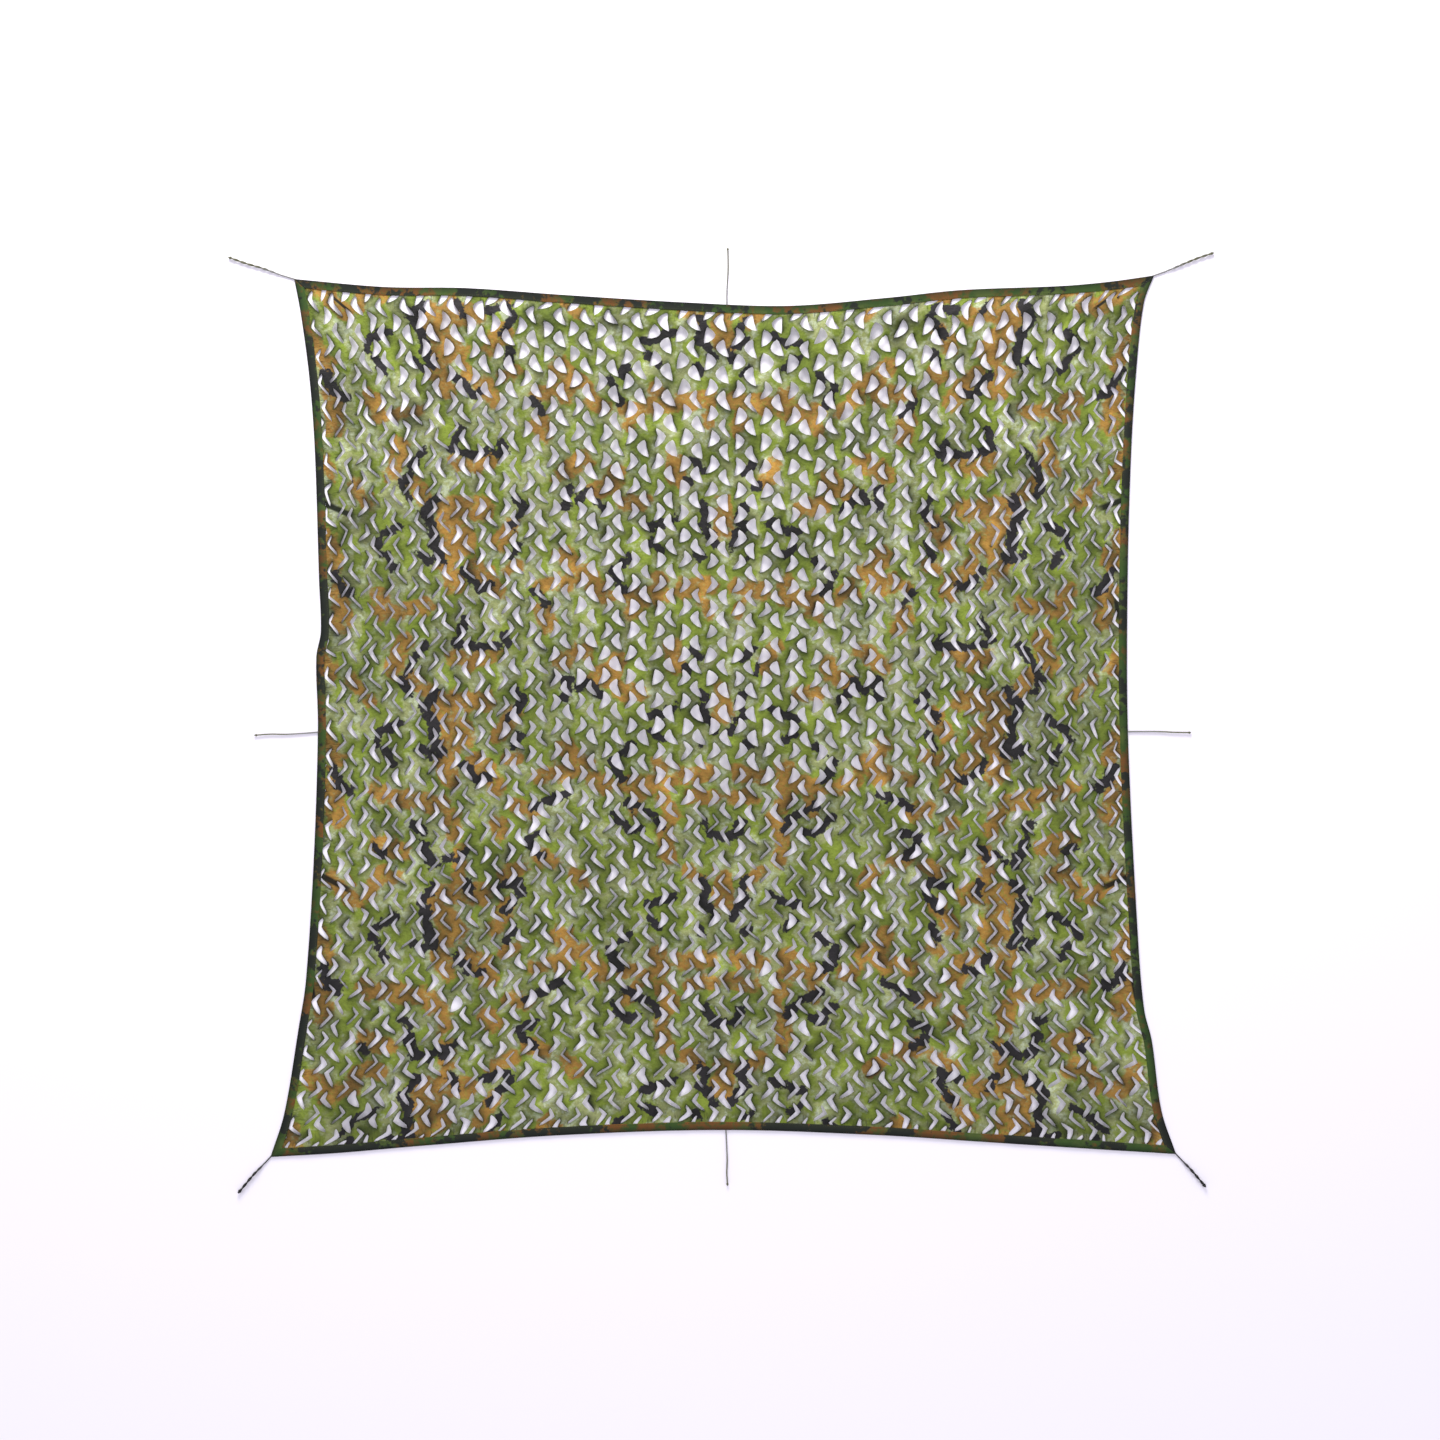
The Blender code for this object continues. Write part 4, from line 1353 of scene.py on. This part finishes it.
def makeNetCloth():
    points, edges, triangles = makeTemplate()
    count = len(points)
    columns, rows = netShape["columns"], netShape["rows"]
    # one spare cell past each side
    column, row = (grid.ravel() for grid in np.meshgrid(np.arange(-1, columns + 1), np.arange(-1, rows + 1)))
    place = points[None, :, :] + np.column_stack([column, row])[:, None, :]
    names = ("height", "tongueSide", "rim", "tone", "hue", "underShade")
    fields = {name: np.zeros(place.shape[:2]) for name in names}
    layCuts(place, fields, edges, column, row)
    faces = latticeFaces(triangles, count, column, row)
    flat = place.reshape(-1, 2)
    fields = {name: values.reshape(-1) for name, values in fields.items()}
    spare = (column < 0) | (column >= columns) | (row < 0) | (row >= rows)
    moving = ~np.tile(np.isin(np.arange(count), list(edges)), len(column)) & ~np.repeat(spare, count)
    relax(flat, fields, faces, moving)
    q, r, u, v = netShares(flat)
    margin = netShape["inset"] / netShape["span"]
    plan = netPoints(margin + (1 - 2 * margin) * u, margin + (1 - 2 * margin) * v)
    toEdge = np.minimum(np.minimum(u, 1 - u), np.minimum(v, 1 - v)) * netShape["span"]
    z = sheetHeight(plan, u, v, toEdge, fields["height"])
    faces = laidFaces(faces, plan, q, r)
    # points that nothing uses are dropped
    used, faces = np.unique(faces, return_inverse=True)
    faces = faces.reshape(-1, 3)
    verts = np.column_stack([plan, z])[used]
    obj = meshObject("netCloth", verts, faces, clothMaterial)
    fields = {name: values[used] for name, values in fields.items()}
    clothAttributes(obj.data, plan[used], u[used], v[used], toEdge[used], fields)
    surface = 0.5 * np.linalg.norm(np.cross(*triangleSides(verts, faces)), axis=1).sum()
    print("net cloth:", len(faces), "triangles,", round(float(surface), 3), "square metres")
    return obj


netCloth = makeNetCloth()


# binding and stitches
bindingShape = {
    "length": 3.0,  # metres of a side, for what runs along it
    "width": 0.028,
    "gap": 0.0003,  # metres left at each end beside the next strip
    "stations": 560,  # rings along one side
    "probe": 0.002,  # share of the side over which its direction at a corner is taken
    "mitre": 0.012,  # share of the side over which the mitre eases into a square section
    "puff": (21, 0.035, 0.0006),  # seed, size and height of the unevenness of the top leaf
    "flatPuff": 0.4,  # share of the puff where the leaf has no belly
    "belly": 0.84,  # share of the width that the belly takes
    "top": (0.0036, 0.0046),  # heights between which the section becomes the top leaf
    "pucker": 0.00012,  # metres that the seam puckers the inner edge by
    "waver": (22, 0.060, 0.0009),  # the same for the way in to the inner edge
    "waverFrom": (0.3, 1.0),  # shares of the width between which the inner edge starts to waver
    "heights": (0.0001, 0.0062),  # the least and the most
    "outerFold": (0.0, 0.010),  # metres in from the outer edge over which the fold's shade ends
    "innerHem": (0.010, 0.026),  # and over which the hem's begins
    "printShift": 0.37,  # metres between one side's print and the next one's
    # seed, size, threshold and metres of each field of the print
    "printOchre": (31, 0.075, 0.62, 0.030),
    "printDark": (32, 0.080, 0.56, 0.030),
    "printLeaf": (33, 0.060, 0.64, 0.06),
}

stitchShape = {
    "inset": 0.0235,  # metres, as all lengths here
    "pitch": 0.0075,
    "length": 0.0052,
    "width": 0.0011,
    "ends": 0.034,  # left without stitches at each end of a side
    "height": 0.0045,
    "arch": 0.0004,  # how much a stitch's middle stands above its ends
    "waver": 0.00025,
    "lean": 0.05,  # radians
    "samples": 4000,  # along a side, to space the stitches evenly
    "seed": 40,
}

# The folded strip's section, as (inset from the outer edge, height): over the top leaf, back along its
# underside, round the inside of the fold, out along the lower leaf and back under it.
bindingSection = (
    (0.0000, 0.0025), (0.0004, 0.0038), (0.0016, 0.0047), (0.0045, 0.0050), (0.0100, 0.0051),
    (0.0170, 0.0050), (0.0210, 0.0046), (0.0235, 0.0043), (0.0262, 0.0046), (0.0277, 0.0046),
    (0.0280, 0.0041), (0.0270, 0.0036), (0.0120, 0.0036), (0.0030, 0.0035), (0.0018, 0.0025),
    (0.0030, 0.0015), (0.0120, 0.0014), (0.0270, 0.0014), (0.0280, 0.0008), (0.0270, 0.0002),
    (0.0100, 0.0001), (0.0020, 0.0003), (0.0004, 0.0012),
)


def cornerStep(side, share):
    # the step inwards at one end of a side
    probe = bindingShape["probe"]
    two = sidePoints(side, np.array((max(share - probe, 0.0), min(share + probe, 1.0))))
    way = two[1] - two[0]
    way = way / np.hypot(*way)
    return np.array((-way[1], way[0]))


def mitred(before, after):
    # one step inwards for the corner where two sides meet
    first, second = cornerStep(before, 1.0), cornerStep(after, 0.0)
    return (first + second) / (1 + first.dot(second))


def stripFrames(name, shares):
    # points on a side and the step inwards there, mitred at both ends like its neighbours
    points = sidePoints(name, shares)
    ahead = directions(points)
    steps = np.column_stack([-ahead[:, 1], ahead[:, 0]])
    order = list(sides)
    number = order.index(name)
    first, last = mitred(order[number - 1], name), mitred(name, order[(number + 1) % 4])
    for step, fromCorner in ((first, shares), (last, 1 - shares)):
        ease = (1 - smoothStep(0.0, bindingShape["mitre"], fromCorner))[:, None]
        steps = steps * (1 - ease) + step * ease
    return points, steps, ahead


def bindingRings(name, shares):
    # the section at every station, uneven as sewn cloth is
    shape = bindingShape
    points, steps, ahead = stripFrames(name, shares)
    points[0] += ahead[0] * shape["gap"]
    points[-1] -= ahead[-1] * shape["gap"]
    uneven = {}
    for kind in ("puff", "waver"):
        seed, size, reach = shape[kind]
        uneven[kind] = (smoothNoise(points, seed, size) * 2 - 1) * reach
    pucker = np.sin(2 * math.pi * shares * shape["length"] / stitchShape["pitch"] / 2) * shape["pucker"]
    rings = []
    for inset, z in bindingSection:
        inner = inset / shape["width"]
        moved = inset + uneven["waver"] * smoothStep(*shape["waverFrom"], inner)
        belly = shape["flatPuff"] + math.sin(math.pi * min(inner / shape["belly"], 1.0))
        height = z + smoothStep(*shape["top"], z) * (uneven["puff"] * belly + pucker * inner)
        height = np.clip(height, *shape["heights"])
        rings.append(np.column_stack([points + steps * moved[:, None], height]))
    return np.stack(rings, axis=1)


def makeBinding(name):
    shape, count, around = bindingShape, bindingShape["stations"], len(bindingSection)
    shares = np.linspace(0.0, 1.0, count)
    verts = bindingRings(name, shares).reshape(-1, 3)
    faces = tubeFaces(count, around)
    faces.append(tuple(range(around)))
    faces.append(tuple((count - 1) * around + j for j in reversed(range(around))))
    obj = meshObject("binding" + name.capitalize(), verts, faces, bindingMaterial)
    bm = bmesh.new()
    bm.from_mesh(obj.data)
    bmesh.ops.recalc_face_normals(bm, faces=bm.faces)
    bm.to_mesh(obj.data)
    bm.free()
    along = np.repeat(shares, around) * shape["length"]
    flat = np.column_stack([along, np.full(len(along), shape["printShift"] * list(sides).index(name))])
    for field in ("printOchre", "printDark", "printLeaf"):
        seed, size, threshold, reach = shape[field]
        pointAttribute(obj.data, field, (smoothNoise(flat, seed, size) - threshold) * reach)
    inset = np.array(bindingSection)[:, 0]
    pointAttribute(obj.data, "outerFold", np.tile(1 - smoothStep(*shape["outerFold"], inset), count))
    pointAttribute(obj.data, "innerHem", np.tile(smoothStep(*shape["innerHem"], inset), count))
    return obj


def makeStitch():
    # one stitch as a small rounded grain, from a sphere drawn out along X
    length, width = stitchShape["length"], stitchShape["width"]
    bpy.ops.object.select_all(action="DESELECT")
    bpy.ops.mesh.primitive_uv_sphere_add(
        segments=6, ring_count=5, radius=0.5, rotation=(0.0, math.pi / 2, 0.0))
    grain = bpy.context.active_object
    bpy.ops.object.transform_apply(location=True, rotation=True, scale=True)
    bpy.ops.object.mode_set(mode="EDIT")
    bpy.ops.mesh.select_all(action="SELECT")
    bpy.ops.transform.resize(value=(length, width, width))
    bpy.ops.object.mode_set(mode="OBJECT")
    points = np.array([v.co[:] for v in grain.data.vertices])
    faces = sorted(tuple(p.vertices) for p in grain.data.polygons)  # the same order each run
    bpy.data.objects.remove(grain, do_unlink=True)
    return points, faces


def makeStitches(name, grain):
    shape = stitchShape
    fine = np.linspace(0.0, 1.0, shape["samples"])
    run = runAlong(sidePoints(name, fine))
    places = np.arange(shape["ends"], run[-1] - shape["ends"], shape["pitch"])
    draw = np.random.RandomState(shape["seed"] + len(name))
    points, grainFaces = grain
    arch = shape["arch"] * np.cos(points[:, 0] / shape["length"] * math.pi)
    height = shape["height"] + points[:, 2] + arch
    verts, faces = [], []
    for point, step, way in zip(*stripFrames(name, np.interp(places, run, fine))):
        inward = np.array((-way[1], way[0]))
        middle = point + step * (shape["inset"] + draw.normal(0.0, shape["waver"]))
        lean = draw.normal(0.0, shape["lean"])
        along = way * math.cos(lean) + inward * math.sin(lean)
        across = np.array((-along[1], along[0]))
        flat = middle + points[:, 0:1] * along + points[:, 1:2] * across
        faces += [tuple(v + len(verts) * len(points) for v in face) for face in grainFaces]
        verts.append(np.column_stack([flat, height]))
    return meshObject("stitches" + name.capitalize(), np.vstack(verts), faces, threadMaterial)


stitch = makeStitch()
for sideName in sides:
    binding, stitches = makeBinding(sideName), makeStitches(sideName, stitch)
    for piece in (binding, stitches):
        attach(piece, "root")
    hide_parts("binding_" + sideName)
print("binding made")

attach(netCloth, "root")
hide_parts("net_cloth")


# floor and light
studio = {
    "floorSize": 400.0,
    "floorHeight": -0.0006,
    "skyColour": (0.960, 0.942, 1.035),
    "skyStrength": 0.91,
    "boxColour": (1.015, 1.0, 0.94),
    "boxPower": 540.0,  # watts
    "boxPlace": (-0.9, 6.0, 2.5),  # beyond the net's top edge, low, so the folds and tongues are raked
    "boxSize": (3.2, 2.0),
}


def makeStudio():
    bpy.ops.object.select_all(action="DESELECT")
    bpy.ops.mesh.primitive_plane_add(size=studio["floorSize"], location=(0.0, 0.0, studio["floorHeight"]))
    floor = bpy.context.active_object
    floor.name = "floor"
    bpy.ops.object.transform_apply(location=True, rotation=True, scale=True)
    floor.data.materials.append(makeFloorMaterial())
    sky = scene.world or bpy.data.worlds.new("sky")
    scene.world = sky
    sky.use_nodes = True
    background = sky.node_tree.nodes["Background"]
    background.inputs["Color"].default_value = (*studio["skyColour"], 1.0)
    background.inputs["Strength"].default_value = studio["skyStrength"]
    data = bpy.data.lights.new("softbox", "AREA")
    data.shape = "RECTANGLE"
    data.size, data.size_y = studio["boxSize"]
    data.energy = studio["boxPower"]
    data.color = studio["boxColour"]
    softbox = newObject("softbox", data)
    softbox.location = studio["boxPlace"]
    softbox.rotation_euler = Vector(studio["boxPlace"]).to_track_quat("Z", "Y").to_euler()
    scene.view_settings.view_transform = "Standard"


makeStudio()
print("studio made")
